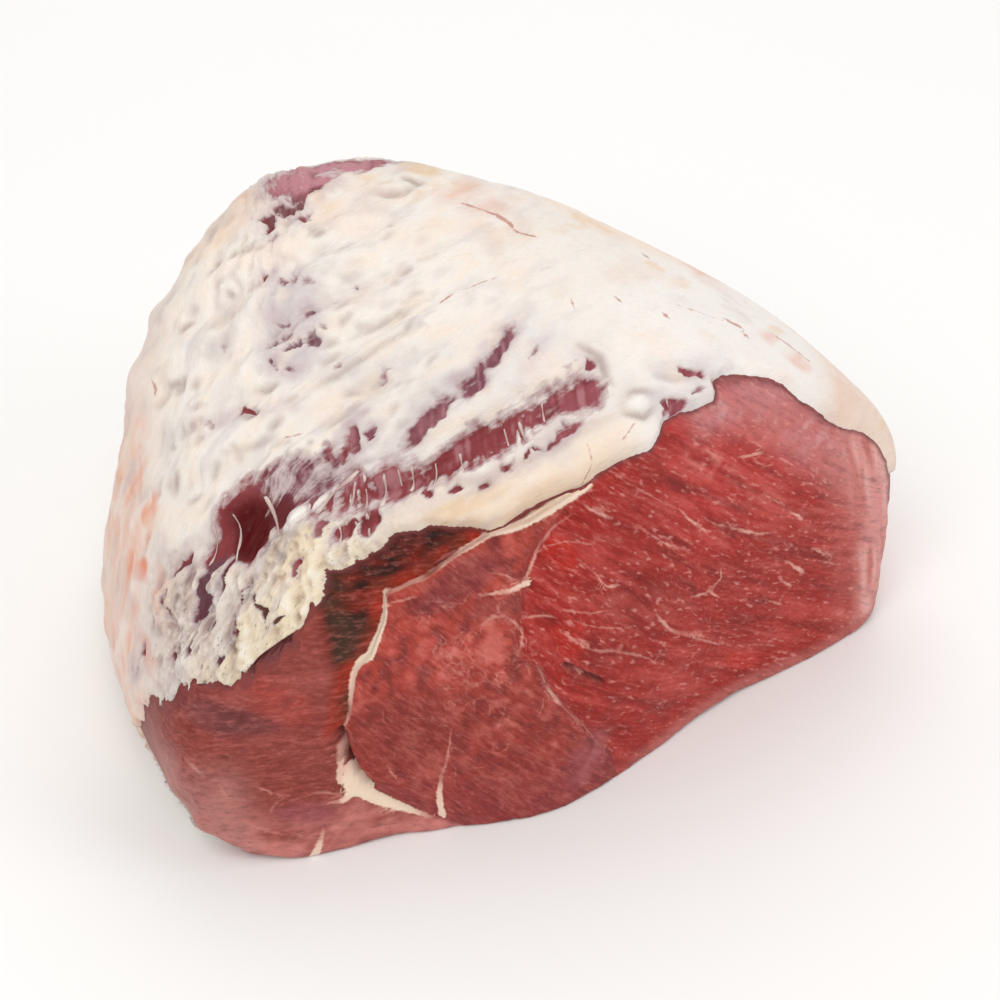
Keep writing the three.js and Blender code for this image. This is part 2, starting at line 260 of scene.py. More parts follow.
# Where the fat ends above the cut, on the chart, from the left toe to the right end. Round the
# ends it runs on this far behind the edge of the cut.
FAT_EDGE = [
    (-131, -42), (-117.5, -17), (-113.2, -14.3), (-108.9, -16.8), (-105.4, -11.9), (-98.1, -8.0),
    (-90.5, -7.3), (-83.2, -7.4), (-76.6, -2.1), (-71.1, 2.1), (-66.5, 5.3), (-64.5, 9.3), (-63.2, 11.9),
    (-58.6, 17.4), (-55.7, 23.9), (-55.0, 27.4), (-48.0, 30.0), (-43.8, 32.5), (-37.7, 36.1),
    (-34.2, 40.3), (-26.4, 41.2), (-22.9, 42.8), (-16.1, 42.5), (-9.4, 42.5), (-3.2, 41.2), (1.3, 42.8),
    (6.5, 46.4), (13.3, 50.6), (20.4, 53.2), (25.6, 55.1), (30.8, 58.7), (37.7, 62.9), (45.7, 66.2),
    (49.1, 67.3), (51.7, 72.2), (53.4, 76.5), (57.8, 79.1), (64.7, 80.9), (70.6, 83.4), (71.3, 86.7),
    (70.1, 90.1), (73.7, 92.6), (81.4, 92.4), (89.7, 91.7), (95.2, 89.2), (100.2, 85.3), (106.9, 81.8),
    (113.5, 77.2), (118.3, 75.7), (127.6, 74.1), (133.3, 70.4), (137.6, 64.5), (139.5, 58.8),
    (140.3, 51.6),
]
EDGE_BEHIND_TOE = 24  # round the left toe, up to the level where the cap reaches the cut
TOE_TOP = (35, 70)


def form(way):
    """The joint in each direction from the heart: its radius as modelled, and where that lies.

    The radius is 1 / press, plus a bell at each swell, plus the rim and the sunk strip of the cap.
    """
    grown, front, trim, whole = presses(way)
    radius = 1 / whole
    point = HEART + way * radius[..., None]
    over = (grown - np.maximum(front, trim)) / whole ** 2
    across, rise = point @ ACROSS, point @ RISE
    shown = smooth((point - HEART) @ TOWARDS, 5, 35)
    for swell in SWELLS:
        radius = radius + swell[4] * bell(np.linalg.norm(point - swell[:3], axis=-1), swell[3])
    on_chart, _ = along_path(across, rise, FAT_EDGE)
    ragged = 3.2 * lumps(point * (1, 1, 0.5), 2.4, 21, 2) * fade(across, -60, -30)
    ragged = ragged + 0.7 * lumps(point, 4.5, 22, 3)
    behind = over - np.where(point[..., 0] < 0, EDGE_BEHIND_TOE * fade(point[..., 2], *TOE_TOP), 0)
    seen = smooth(looks_to_shoulder(way), -0.15, 0.1)
    past_edge = behind + seen * (on_chart - behind) + ragged
    proud = RIM_PROUD + RIM_ROLL_EXTRA * bell(across - RIM_ROLL_AT, RIM_ROLL_SPREAD)
    rim = proud * smooth(past_edge, 0, RIM_STEP) * np.exp(-np.maximum(past_edge, 0) / RIM_FADE)
    strip_off, _ = along_path(across, rise, STRIP_PATH)
    sunk = STRIP_DEEP * fade(np.abs(strip_off), STRIP_FLOOR, STRIP_BANK)
    sunk = sunk + WINDOW_DEEP * bell(np.hypot(across - WINDOW_AT[0], rise - WINDOW_AT[1]), WINDOW_WIDE)
    over_streaks = rise * np.cos(STREAK_SLOPE) - across * np.sin(STREAK_SLOPE)
    combed = (STREAK_HIGH * np.sin(2 * np.pi * over_streaks / STREAK_PITCH)
              * smooth(across, -122, -97) * fade(across, -22, 18))
    cap = smooth(over, 2, 8) * shown * (combed - sunk)
    return {"radius": radius, "rim": rim, "cap": cap, "over": over, "point": point, "past_edge": past_edge,
            "across": across, "rise": rise, "shown": shown, "seen": seen}


def wrap(along, up):
    """Wraps a flat sheet round the joint: mm along the level outline from its front, mm up."""
    turn = np.radians(np.linspace(FRONT_TURN - 170, FRONT_TURN + 170, 1500))
    level = np.stack([np.cos(turn), np.sin(turn), 0 * turn], -1)
    outline = level / presses(level)[3][:, None]
    walked = np.concatenate([[0], np.cumsum(np.linalg.norm(np.diff(outline, axis=0), axis=1))])
    walked -= np.interp(FRONT_TURN, np.degrees(turn), walked)
    way = np.stack([np.interp(along, walked, outline[:, 0]), np.interp(along, walked, outline[:, 1]), up], -1)
    return way / np.linalg.norm(way, axis=-1, keepdims=True)


def knife_border(count_along, count_up, half_along, half_up):
    """Where the knife's faces end: each ray of a rectangle's border, halved until it meets the edge."""
    s, t = np.linspace(-1, 1, count_along + 1), np.linspace(-1, 1, count_up + 1)
    sides = {"low": np.stack([s, 0 * s - 1], -1), "high": np.stack([s, 0 * s + 1], -1),
             "left": np.stack([0 * t - 1, t], -1), "right": np.stack([0 * t + 1, t], -1)}
    for name, ray in sides.items():
        ray = ray * (half_along, half_up)
        inside, outside = np.zeros(len(ray)), np.full(len(ray), 2.0)
        for _ in range(26):
            part = (inside + outside) / 2
            grown, front, trim, _ = presses(wrap(*(ray * part[:, None]).T))
            cut = np.maximum(front, trim) > grown
            inside, outside = np.where(cut, part, inside), np.where(cut, outside, part)
        sides[name] = ray * inside[:, None]
    return sides


def sheet_between(sides):
    """A Coons sheet: the mean of the sides drawn straight across, less what the corners count twice."""
    low, high, left, right = (sides[k] for k in ("low", "high", "left", "right"))
    s = np.linspace(0, 1, len(low))[:, None, None]
    t = np.linspace(0, 1, len(left))[None, :, None]
    corners = (1 - s) * ((1 - t) * low[0] + t * high[0]) + s * ((1 - t) * low[-1] + t * high[-1])
    return (1 - t) * low[:, None] + t * high[:, None] + (1 - s) * left[None] + s * right[None] - corners


def turned_to(pole, start, share):
    """Directions a share of the way along the arcs from each start to a pole."""
    angle = np.arccos(np.clip(start @ pole, -1, 1))[:, None]
    return (np.sin((1 - share) * angle) * start + np.sin(share * angle) * pole) / np.sin(angle)


def above_floor(way, radius, lift=0.0):
    """Radii shortened so that no point lies lower than lift."""
    down = np.maximum(-way[:, 2], 1e-6)
    return np.where(way[:, 2] < -1e-6, np.minimum(radius, (HEART[2] - lift) / down), radius)


def grid_faces(index):
    """The quads of a grid of point numbers."""
    return np.stack([index[:-1, :-1], index[1:, :-1], index[1:, 1:], index[:-1, 1:]], -1).reshape(-1, 4)


def make_piece(name, points, quads, triangles, material, attributes):
    """A mesh object at the origin from points in mm; attributes are numbers, vectors or colours a point."""
    mesh = bpy.data.meshes.new(name)
    mesh.vertices.add(len(points))
    mesh.vertices.foreach_set("co", (points / 1000).astype(np.float32).ravel())
    corners = np.concatenate([quads.ravel(), triangles.ravel()]).astype(np.int32)
    starts = np.concatenate([np.arange(len(quads)) * 4, len(quads) * 4 + np.arange(len(triangles)) * 3])
    mesh.loops.add(len(corners))
    mesh.loops.foreach_set("vertex_index", corners)
    mesh.polygons.add(len(quads) + len(triangles))
    mesh.polygons.foreach_set("loop_start", starts.astype(np.int32))
    mesh.polygons.foreach_set("use_smooth", np.ones(len(starts), bool))
    mesh.update(calc_edges=True)
    mesh.validate()
    for attribute, values in attributes.items():
        values = np.asarray(values, np.float32)
        kind, field = {1: ("FLOAT", "value"), 3: ("FLOAT_VECTOR", "vector"), 4: ("FLOAT_COLOR", "color")}[
            values.size // len(values)]
        mesh.attributes.new(attribute, kind, "POINT").data.foreach_set(field, values.ravel())
    mesh.materials.append(material)
    piece = bpy.data.objects.new(name, mesh)
    bpy.context.collection.objects.link(piece)
    return piece


# Directions: a fine grid over the knife's faces, then rings that widen towards the far end.
COLUMNS, ROWS, RINGS = 330, 112, 36
RING_GROWTH, LAST_RING = 1.1, 0.985  # each ring is wider than the one before; the last ends this far along
FAR_END = facing(95, 2)
BEYOND_CUT = 165, 62  # half of a rectangle that reaches past the knife's faces

sides = knife_border(COLUMNS, ROWS, *BEYOND_CUT)
sheet = sheet_between(sides)
grid_ways = wrap(sheet[..., 0], sheet[..., 1])
index = np.arange((COLUMNS + 1) * (ROWS + 1)).reshape(COLUMNS + 1, ROWS + 1)
border = np.concatenate([index[:-1, 0], index[-1, :-1], index[:0:-1, -1], index[0, :0:-1]])
ways = [grid_ways.reshape(-1, 3)]
quads = [grid_faces(index)]
ring = border
for number in range(1, RINGS + 1):
    share = LAST_RING * (RING_GROWTH ** number - 1) / (RING_GROWTH ** RINGS - 1)
    ways.append(turned_to(FAR_END, ways[0][border], share))
    outer = index.size + (number - 1) * len(border) + np.arange(len(border))
    quads.append(np.stack([ring, outer, np.roll(outer, -1), np.roll(ring, -1)], -1))
    ring = outer
pole = index.size + RINGS * len(border)
ways.append(FAR_END[None])
triangles = np.stack([ring, np.full(len(ring), pole), np.roll(ring, -1)], -1)
ways, quads = np.concatenate(ways), np.concatenate(quads)
ways /= np.linalg.norm(ways, axis=1, keepdims=True)

body = form(ways)
point = body["point"]
x, y, z = point.T
on_cut = smooth(-body["past_edge"], -0.5, 2) * smooth(-y, -15, 15)  # 1 on the fresh cut, 0 elsewhere

# Seams between the muscles, as paths of x and z over the cut. A thin sheet of white fat fills them.
MAIN_SEAM = [
    (-12, 118), (-32, 109), (-44, 106.5), (-58, 100), (-66, 95), (-73, 93), (-80, 91), (-82, 82),
    (-88, 70), (-93, 66), (-97, 51), (-101, 43), (-101, 34), (-98, 24), (-88, 11), (-78, 4), (-70, 0),
]
SECOND_SEAM = [
    (-24, 108), (-30, 101), (-35, 96), (-37, 88), (-39, 80), (-42, 70), (-43, 62), (-36, 57), (-34, 49),
    (-30, 42), (-12, 12), (-10, 4),
]
OPEN_GAP = [(-101, 44), (-100.5, 36), (-98.5, 28), (-96, 22)]
KNIFE_SLIT = [(-28, 57), (-14, 44)]
main_off, main_gone = along_path(x, z, MAIN_SEAM)
second_off, _ = along_path(x, z, SECOND_SEAM)
gap_off, _ = along_path(x, z, OPEN_GAP)
slit_off, _ = along_path(x, z, KNIFE_SLIT)

# The muscles: the small one left of the main seam, the middle one, and the large one on the right.
left_muscle = smooth(-main_off, -0.6, 0.6) * on_cut
right_muscle = smooth(second_off, -1, 1) * smooth(x, -60, -45)
dried_wedge = smooth(-main_off, -0.5, 0.8) * smooth(z, 60, 74) * smooth(x, -101, -97)
dried_strip = smooth(-main_off, -0.5, 0.8) * smooth(z, 40, 50) * fade(-main_off, 3, 7)
dried = np.clip(dried_wedge + dried_strip, 0, 1) * on_cut

# Fibres run down to the right, steeper in the middle muscle; u is along them, w across them.
middle_muscle = 1 - right_muscle
fibre_slope = np.radians(-34 - 8 * smooth(z, 30, 85) * right_muscle - 12 * middle_muscle + 38 * left_muscle)
fibre_u = x * np.cos(fibre_slope) + z * np.sin(fibre_slope)
fibre_w = z * np.cos(fibre_slope) - x * np.sin(fibre_slope)
fibre = np.stack([fibre_u / 3.2, fibre_w, y * 0.5], -1)

# Relief in mm: the main seam is a ridge at its top and a groove lower down, the gap and the slit are open.
relief = 1.6 * bell(main_off, 1.7) * fade(main_gone, 22, 40)
relief -= 1.6 * bell(main_off, 2.6) * smooth(main_gone, 30, 45) + 1.0 * bell(second_off, 2.2)
relief -= 6.5 * smooth(-np.abs(gap_off), -2.6, -0.2) + 1.8 * smooth(-np.abs(slit_off), -1.6, -0.1)
relief -= 2.2 * dried_wedge * (0.7 + 0.5 * lumps(fibre, 6, 14)) + 0.8 * dried_strip
relief += 0.5 * lumps(point, 11, 11) + 0.42 * lumps(fibre, 3.2, 12, 3) + 0.12 * lumps(point, 1.9, 13, 2)
UNDER_CAP = 3.2  # the lean lies this far below the form where the cap covers it
radius = body["radius"] + relief * on_cut + body["cap"] - UNDER_CAP * smooth(body["past_edge"], 0.3, 4)
lean_points = HEART + ways * above_floor(ways, radius)[:, None]


def painted(ground, layers):
    """A ground colour with colours laid over it in turn, each by a share from 0 to 1 at every point."""
    colours = np.array(to_linear(ground))
    for colour, share in layers:
        colours = colours + np.clip(share, 0, 1)[:, None] * (np.array(to_linear(colour)) - colours)
    return colours


def oval(a, b, middle_a, middle_b, long, wide, slope=0.0):
    """1 inside an oval and 0 outside it, with a soft border: (u/long)^2 + (w/wide)^2 against 1."""
    slope = np.radians(slope)
    u = (a - middle_a) * np.cos(slope) + (b - middle_b) * np.sin(slope)
    w = (b - middle_b) * np.cos(slope) - (a - middle_a) * np.sin(slope)
    return fade(np.hypot(u / long, w / wide), 0.55, 1.25)


UNDER_FAT = [
    (46, 131), (58, 128), (67, 123), (73, 119), (78, 112), (86, 104), (94, 95), (100, 90), (104, 85),
]
END_FOLD = [(98, 87), (103, 73), (106, 50), (109, 4)]
mottle = lumps(point, 8, 15)
blotch = lumps(point, 4, 25, 2)
streak = lumps(fibre, 4.2, 16)
long_streak = lumps(flat(fibre_u / 9 + 0.25 * mottle, fibre_w + 0.8 * mottle), 2.6, 26, 2)  # 2.6 by 23 mm
under_fat_off = np.abs(along_path(x, z, UNDER_FAT)[0])
end_off = along_path(x, z, END_FOLD)[0]
at_end = smooth(end_off + 3 * mottle, -7, 9) * smooth(z, -2, 8)
upright_streak = lumps(flat(end_off - 0.03 * z, z / 9), 3.0, 27, 2)

wedge_core = dried_wedge * smooth(-main_off, 2.5, 6.0) * smooth(-x, 34, 60)
burnt = lumps(fibre, 5, 17)
flesh = painted("#9E241D", [  # the large right muscle
    ("#B22F29", smooth(z, 55, 105) * smooth(x, 5, 35)),
    ("#C8524A", right_muscle * smooth(long_streak, 0.05, 0.6) * 0.55),
    ("#741812", right_muscle * smooth(-long_streak, 0.1, 0.6) * 0.6),
    ("#98382F", middle_muscle),
    ("#B5473A", middle_muscle * smooth(z, 48, 62) * (0.65 + 0.8 * blotch)),
    ("#C4584E", middle_muscle * smooth(z, 56, 66) * fade(z, 72, 82) * smooth(blotch, 0.0, 0.5) * 0.8),
    ("#7A2F2E", middle_muscle * smooth(-blotch - 0.4 * mottle, 0.0, 0.5) * 0.7),
    ("#CC7468", middle_muscle * smooth(blotch + 0.5 * mottle, 0.1, 0.6) * 0.45),
    ("#84393A", oval(x, z, -56, 92, 17, 6.5, 30) * 0.75),  # dusky corner
    ("#8A413D", oval(x, z, -47, 81, 9, 4, 5) * 0.6),
    ("#85332E", oval(x, z, -80, 42, 17, 17, 0) * 0.65),
    ("#8F3B3C", middle_muscle * smooth(-z, -30, -12) * 0.6),
    # thin skin at the lower end of the seam
    ("#A45A5C", oval(x, z, -22, 16, 12, 9, 40) * (0.5 + 0.8 * blotch)),
    ("#8C3E37", left_muscle),
    ("#6F393A", oval(x, z, -134, 57, 12, 6, -25) * 0.85),
    ("#6F3A3A", oval(x, z, -124, 54, 8, 4, -20) * 0.6),
    ("#A9443C", oval(x, z, -116, 60, 13, 7, -45) * (0.6 + 0.7 * blotch)),
    ("#9B4A42", oval(x, z, -108, 66, 8, 5, 0) * 0.6),
    ("#CB7F78", left_muscle * smooth(-z, -26, -8) * (0.75 + 0.7 * streak + 0.6 * blotch)),
    ("#8C444A", oval(x, z, -115, 18, 9, 4, -15) * 0.7),
    ("#B98078", left_muscle * smooth(-x, 124, 140) * fade(z, 30, 48) * 0.7),
    ("#C57E7D", fade(under_fat_off, 9, 26) * (0.8 + 0.4 * mottle)),  # thin membrane
    ("#D7A6A4", fade(under_fat_off, 6, 20) * smooth(blotch, 0.1, 0.5) * 0.5),
    # painted shadow along the lower edge of the fat over the right of the cut
    ("#7C3B40", bell(under_fat_off, 1.4) * 0.65),
    ("#7F1B16", oval(x, z, 6, 66, 22, 13, -30) * 0.45),
    ("#C66E68", smooth(end_off, -20, -2) * smooth(z, -2, 8) * (0.45 + 0.4 * mottle)),
    ("#D7938D", at_end * 0.9),  # right end
    ("#E2B3AB", at_end * smooth(upright_streak, 0.0, 0.5) * 0.7),
    ("#B0514B", at_end * smooth(-upright_streak, 0.1, 0.5) * 0.6),
    # raised pink patch
    ("#D4736B", oval(x, z, 37, 105, 15, 5, -42) * smooth(long_streak + blotch, -0.3, 0.5) * 0.85),
    ("#8E1512", oval(x, z, 33, 108, 7, 1.2, -42) * 0.7),
    ("#BE3027", oval(x, z, 54, 15, 10, 5, -30) * 0.7),
    ("#B8281A", oval(x, z, -24, 97, 4.5, 9, 30) * 0.75 + oval(x, z, -25, 66, 6, 8, 20) * 0.6),
    ("#B7655F", smooth(-z, -8, -2) * smooth(x, -20, 10) * 0.8),  # lower edge of the cut
    ("#B5625A", 0.30 * smooth(streak, 0.1, 0.7) * on_cut),
    ("#6E2120", 0.40 * smooth(-streak, 0.15, 0.7) * on_cut),
    ("#B3280F", dried * 0.95),  # dried edge, orange-red at the seam
    ("#6E0F0A", dried_wedge * smooth(-main_off, 3, 8) * fade(-x, 42, 62)),
    ("#2C0C05", np.clip(wedge_core * (1.05 + 0.9 * burnt), 0, 1)),
    ("#7E2012", wedge_core * smooth(burnt, 0.1, 0.5) * 0.7),
    ("#4A3424", wedge_core * smooth(-x, 84, 96) * (0.6 + 0.6 * mottle)),
    ("#5C2A18", dried_strip * (0.5 + 0.8 * mottle)),
    # painted shade in the open gap and the knife slit
    ("#2E120E", bell(gap_off, 1.1) + bell(slit_off, 0.7) * 0.8),
    ("#7C3F40", 1 - on_cut),
    ("#7A2B2B", bell(second_off, 1.0) * 0.4),
])


def curved(path, parts=6):
    """A smooth curve through the points of a path: Catmull-Rom, with `parts` pieces a leg."""
    path = np.array(path, float)
    path = np.concatenate([[2 * path[0] - path[1]], path, [2 * path[-1] - path[-2]]])
    t = np.linspace(0, 1, parts, endpoint=False)[:, None]
    legs = [0.5 * (2 * b + (c - a) * t + (2 * a - 5 * b + 4 * c - d) * t ** 2
                   + (3 * b - a - 3 * c + d) * t ** 3)
            for a, b, c, d in zip(path[:-3], path[1:-2], path[2:-1], path[3:])]
    return np.concatenate(legs + [path[-2:-1]])


# White lines of fat in and beside the seams: path, half width at its start and at its end, how plain it is.
FAT_LINES = [
    (MAIN_SEAM[:3], 1.7, 1.1, 1.0), (MAIN_SEAM[2:5], 1.0, 0.6, 1.0), (MAIN_SEAM[4:7], 0.6, 0.5, 1.0),
    (MAIN_SEAM[6:9], 1.0, 1.5, 1.0), (MAIN_SEAM[8:11], 1.4, 0.6, 0.95), (MAIN_SEAM[10:12], 0.6, 0.4, 0.85),
    ([(-101, 43), (-102.5, 36), (-103, 27)], 0.4, 1.1, 0.9),
    ([(-99, 30), (-97, 21), (-93, 15)], 0.7, 0.6, 1.0),
    ([(-101, 30), (-101, 25), (-99, 21)], 1.0, 2.2, 1.0),
    ([(-108, 20), (-103, 20), (-98, 22)], 0.4, 1.6, 1.0),
    ([(-100, 24), (-96, 18), (-92, 13)], 2.2, 1.9, 1.0), ([(-92, 13), (-86, 8), (-79, 4)], 1.8, 0.5, 1.0),
    ([(-66, 42), (-69, 30), (-72, 23)], 0.15, 0.4, 0.7),
    ([(-72, 23), (-74.5, 13), (-75, 5)], 0.6, 1.3, 1.0),
    ([(-111, 11), (-113, 6), (-115, 0)], 0.4, 1.4, 1.0),
    ([(-30, 101), (-34, 94), (-37, 88)], 0.35, 0.6, 0.85),
    ([(-19, 109), (-25, 106), (-30, 101)], 0.2, 0.4, 0.6),
    ([(-36, 88), (-42, 86.5), (-50, 86.5)], 1.1, 0.45, 1.0),
    ([(-38, 89), (-42, 92), (-47, 94)], 0.35, 0.2, 0.6),
    ([(-29, 100), (-22, 100), (-16, 98)], 0.25, 0.35, 0.8),
    ([(-15, 88), (-10, 80), (-5, 78)], 0.25, 0.5, 0.95),
    ([(-39, 76), (-34, 76.5), (-29, 75)], 0.35, 0.3, 0.75),
    ([(-51, 77), (-47, 78.5), (-43, 77), (-40, 72), (-41, 66), (-44, 61)], 0.45, 0.35, 0.9),
    ([(-37, 59), (-35, 50)], 0.3, 0.3, 0.75), ([(-35, 50), (-31, 42)], 0.5, 0.6, 0.85),
    ([(-31, 42), (-22, 28), (-13, 11)], 0.3, 0.2, 0.5), ([(-79, 88), (-70, 89)], 0.2, 0.35, 0.7),
    ([(-67, 87), (-58, 85)], 0.2, 0.25, 0.5), ([(-88, 30), (-86, 22)], 0.25, 0.25, 0.6),
    ([(-8, 124), (2, 114), (20, 96)], 0.2, 0.3, 0.6), ([(32, 87), (37, 82), (43, 78)], 0.25, 0.4, 0.6),
    ([(43, 78), (53, 71), (62, 66)], 0.4, 0.5, 0.85), ([(4, 97), (15, 85), (25, 77)], 0.4, 0.35, 0.7),
    ([(23, 94), (27, 88), (30, 84)], 0.3, 0.7, 0.95), ([(30, 84), (34, 79)], 0.35, 0.2, 0.8),
    ([(40, 63), (39, 59), (36, 56.5)], 0.3, 0.5, 0.85), ([(37, 57), (31, 56.5), (26, 58)], 0.6, 0.3, 0.9),
    ([(34, 57.5), (36, 54), (39, 51)], 0.5, 0.3, 0.85), ([(10, 59), (15, 51), (20, 46)], 0.5, 0.6, 0.9),
    ([(20, 46), (35, 34), (51, 22)], 0.5, 0.25, 0.75), ([(20, 47), (34, 39), (44, 33)], 0.2, 0.2, 0.5),
    ([(-28, 70), (-19, 60), (-6, 52)], 0.35, 0.4, 0.8), ([(-6, 52), (8, 42)], 0.4, 0.2, 0.6),
    ([(-23, 72), (-14, 66), (0, 59)], 0.2, 0.2, 0.6),
    ([(-27, 77), (-18, 73), (-11, 71)], 0.25, 0.35, 0.75), ([(-21, 100), (-14, 97)], 0.25, 0.35, 0.7),
    ([(50, 102), (60, 99)], 0.4, 0.6, 0.9), ([(60, 83), (70, 73)], 0.3, 0.3, 0.7),
    ([(72, 70), (78, 64)], 0.35, 0.6, 0.95), ([(77, 80), (85, 75)], 0.25, 0.3, 0.6),
    ([(83, 50), (94, 41)], 0.25, 0.4, 0.7), ([(70, 51), (80, 41)], 0.3, 0.65, 0.95),
    ([(68, 43), (74, 38)], 0.35, 0.5, 0.9), ([(62, 38), (70, 32)], 0.3, 0.5, 0.85),
    ([(89, 41), (99, 35)], 0.2, 0.3, 0.6), ([(-15, 112), (-11, 108), (-6, 104)], 0.35, 0.6, 0.9),
    ([(-11, 113), (-4, 108)], 0.2, 0.3, 0.6), ([(-128, 31), (-121, 26)], 0.2, 0.4, 0.6),
    ([(-119, 24), (-110, 25), (-103, 22)], 0.15, 0.4, 0.5),
    ([(-134, 18), (-124, 12), (-114, 10)], 0.3, 0.3, 0.35), ([(-146, 42), (-143, 38)], 0.4, 0.7, 0.4),
    ([(-139, 34), (-137, 29), (-133, 27)], 0.3, 0.6, 0.4),
    ([(-127, 18), (-124, 23), (-119, 26)], 0.3, 0.3, 0.35),
]
fleck_draw = np.random.default_rng(7)
for _ in range(210):  # marbling: short flecks, mostly in the large muscle
    at = np.array([fleck_draw.uniform(-30, 99), fleck_draw.uniform(6, 122)])
    slope = np.radians(-33 - 9 * np.clip((at[1] - 30) / 55, 0, 1) + fleck_draw.normal(0, 8))
    long, wide = fleck_draw.gamma(2.6, 0.8), fleck_draw.uniform(0.1, 0.42)
    run = long * np.array([np.cos(slope), np.sin(slope)])
    middle = at + run / 2 + (0, fleck_draw.normal(0, 0.12) * long)
    FAT_LINES.append(([at, middle, at + run], wide * 0.6, wide, fleck_draw.uniform(0.3, 0.9)))
for _ in range(95):  # the pale net in the upper part of the middle muscle
    fx, fz = fleck_draw.normal(-55, 11), fleck_draw.normal(60, 13)
    slope, bow, long = fleck_draw.uniform(0, 2 * np.pi), fleck_draw.normal(0, 0.3), fleck_draw.uniform(2.5, 7)
    run = long * np.array([np.cos(slope), np.sin(slope)])
    at = np.array([np.clip(fx, -82, -36), np.clip(fz, 22, 84)])
    FAT_LINES.append(([at, at + run / 2 + bow * np.array([-run[1], run[0]]), at + run],
                      0.08, fleck_draw.uniform(0.08, 0.3), fleck_draw.uniform(0.25, 0.65)))
for _ in range(40):  # and finer threads in the rest of the middle and left muscles
    at = np.array([fleck_draw.uniform(-140, -50), fleck_draw.uniform(8, 50)])
    slope, long = np.radians(fleck_draw.normal(-30, 40)), fleck_draw.gamma(2.5, 1.1)
    run = long * np.array([np.cos(slope), np.sin(slope)])
    FAT_LINES.append(([at, at + run], 0.08, 0.12, fleck_draw.uniform(0.15, 0.4)))

NO_LINE = -5.0  # the half width where there is no line
line_off, line_half, line_plain = np.zeros(len(ways)), np.full(len(ways), NO_LINE), np.zeros(len(ways))
nearest = np.full(len(ways), -50.0)
front = np.flatnonzero(on_cut > 0.3)
wobble = point[front]
fx = x[front] + 0.55 * lumps(wobble, 5, 18) + 0.25 * lumps(wobble, 1.8, 28, 1)
fz = z[front] + 0.55 * lumps(wobble, 5, 19) + 0.25 * lumps(wobble, 1.8, 29, 1)
breaks = 0.75 + 0.6 * lumps(wobble, 3.5, 30, 2)
for path, half_start, half_end, plain in FAT_LINES:
    path = curved(path)
    (x_low, z_low), (x_high, z_high) = path.min(0) - 5, path.max(0) + 5
    beside = np.flatnonzero((fx > x_low) & (fx < x_high) & (fz > z_low) & (fz < z_high))
    off, gone = along_path(fx[beside], fz[beside], path)
    run = np.hypot(*np.diff(path, axis=0).T).sum()
    half = half_start + (half_end - half_start) * gone / run
    inside = half * np.clip(plain, 0.5, 1) - np.abs(off)
    better = inside > nearest[front[beside]]
    at = front[beside[better]]
    nearest[at] = inside[better]
    line_off[at] = off[better]
    line_half[at] = (half - 6 * smooth(np.abs(off) - half, 0.9, 1.9))[better]
    ends = 1 - 0.6 * smooth(np.abs(2 * gone / run - 1), 0.5, 1) * (half < 0.8)
    line_plain[at] = (plain * ends * np.where(half < 0.8, breaks[beside], 1))[better]
flecked = on_cut * (0.25 + 0.75 * right_muscle) * (1 - dried) * (1 - 0.6 * at_end)

# Fresh beef: wet muscle cut across. Red with a soft sheen, a little light passing into it, and
# fibre bundles of about 1 mm that show as fine broken streaks. Fat in it is pink where it is thin.
fresh_beef, put = new_material("fresh_beef")
flesh_colour, fibres, lines, specked = (
    put("Attribute", attribute_name=name, output=output) for name, output in (
        ("flesh", "Color"), ("fibre", "Vector"), ("line", "Vector"), ("flecked", "Fac")))
stretched = put("VectorMath", {0: fibres, 1: (0.33, 1.0, 1.0)}, operation="MULTIPLY")
# Noises over the fibres: bundles are 1 by 3 mm, fine ones 0.4 mm and strokes 2 by 16 mm.
bundles = put("TexNoise", {"Vector": fibres, "Scale": 0.9, "Detail": 3.0, "Roughness": 0.6})
fine = put("TexNoise", {"Vector": fibres, "Scale": 2.6, "Detail": 2.0, "Roughness": 0.6})
strokes = put("TexNoise", {
    "Vector": stretched, "Scale": 0.55, "Detail": 3.0, "Roughness": 0.6, "Distortion": 0.5})
three = put("CombineXYZ", {"X": bundles, "Y": fine, "Z": strokes})


def laid_over(put, ground, noises, weights, low, high, most, colour, where=None, blend="SMOOTHSTEP"):
    """Lays a colour over the ground where a weighted sum of three noises goes from low to high.

    It covers a share of most and no more, times the share where if that is given.
    """
    strong = put("VectorMath", {0: noises, 1: weights}, operation="DOT_PRODUCT", output="Value")
    share = put("MapRange", {"Value": strong, "From Min": low, "From Max": high, "To Max": most},
                interpolation_type=blend)
    if where is not None:
        share = put("Math", {0: share, 1: where}, operation="MULTIPLY")
    return put("Mix", {0: share, 6: ground, 7: colour}, output=2, data_type="RGBA")


SHADE = (1.2, 0.5, 1.5)  # their weighted sum is 1.6 in the middle
toned = laid_over(put, flesh_colour, three, SHADE, 1.6, 2.3, 0.42, "#DC8077", blend="LINEAR")
toned = laid_over(put, toned, three, SHADE, 1.6, 0.9, 0.55, "#3C0806", blend="LINEAR")


def line_cover(put, line, waves, amount, soft=0.3):
    """How far a line covers a place: its half width (Y), waved by a noise, less the distance off (X)."""
    parts = put("SeparateXYZ", {"Vector": line}).node.outputs
    wide = put("MapRange", {"Value": waves, "From Min": 0.25, "From Max": 0.75,
                            "To Min": -amount / 2, "To Max": amount / 2})
    wide = put("Math", {0: parts[1], 1: wide}, operation="ADD")
    off = put("Math", {0: parts[0]}, operation="ABSOLUTE")
    inside = put("Math", {0: wide, 1: off}, operation="SUBTRACT")
    return put("MapRange", {"Value": inside, "From Min": -soft, "From Max": soft},
               interpolation_type="SMOOTHSTEP")


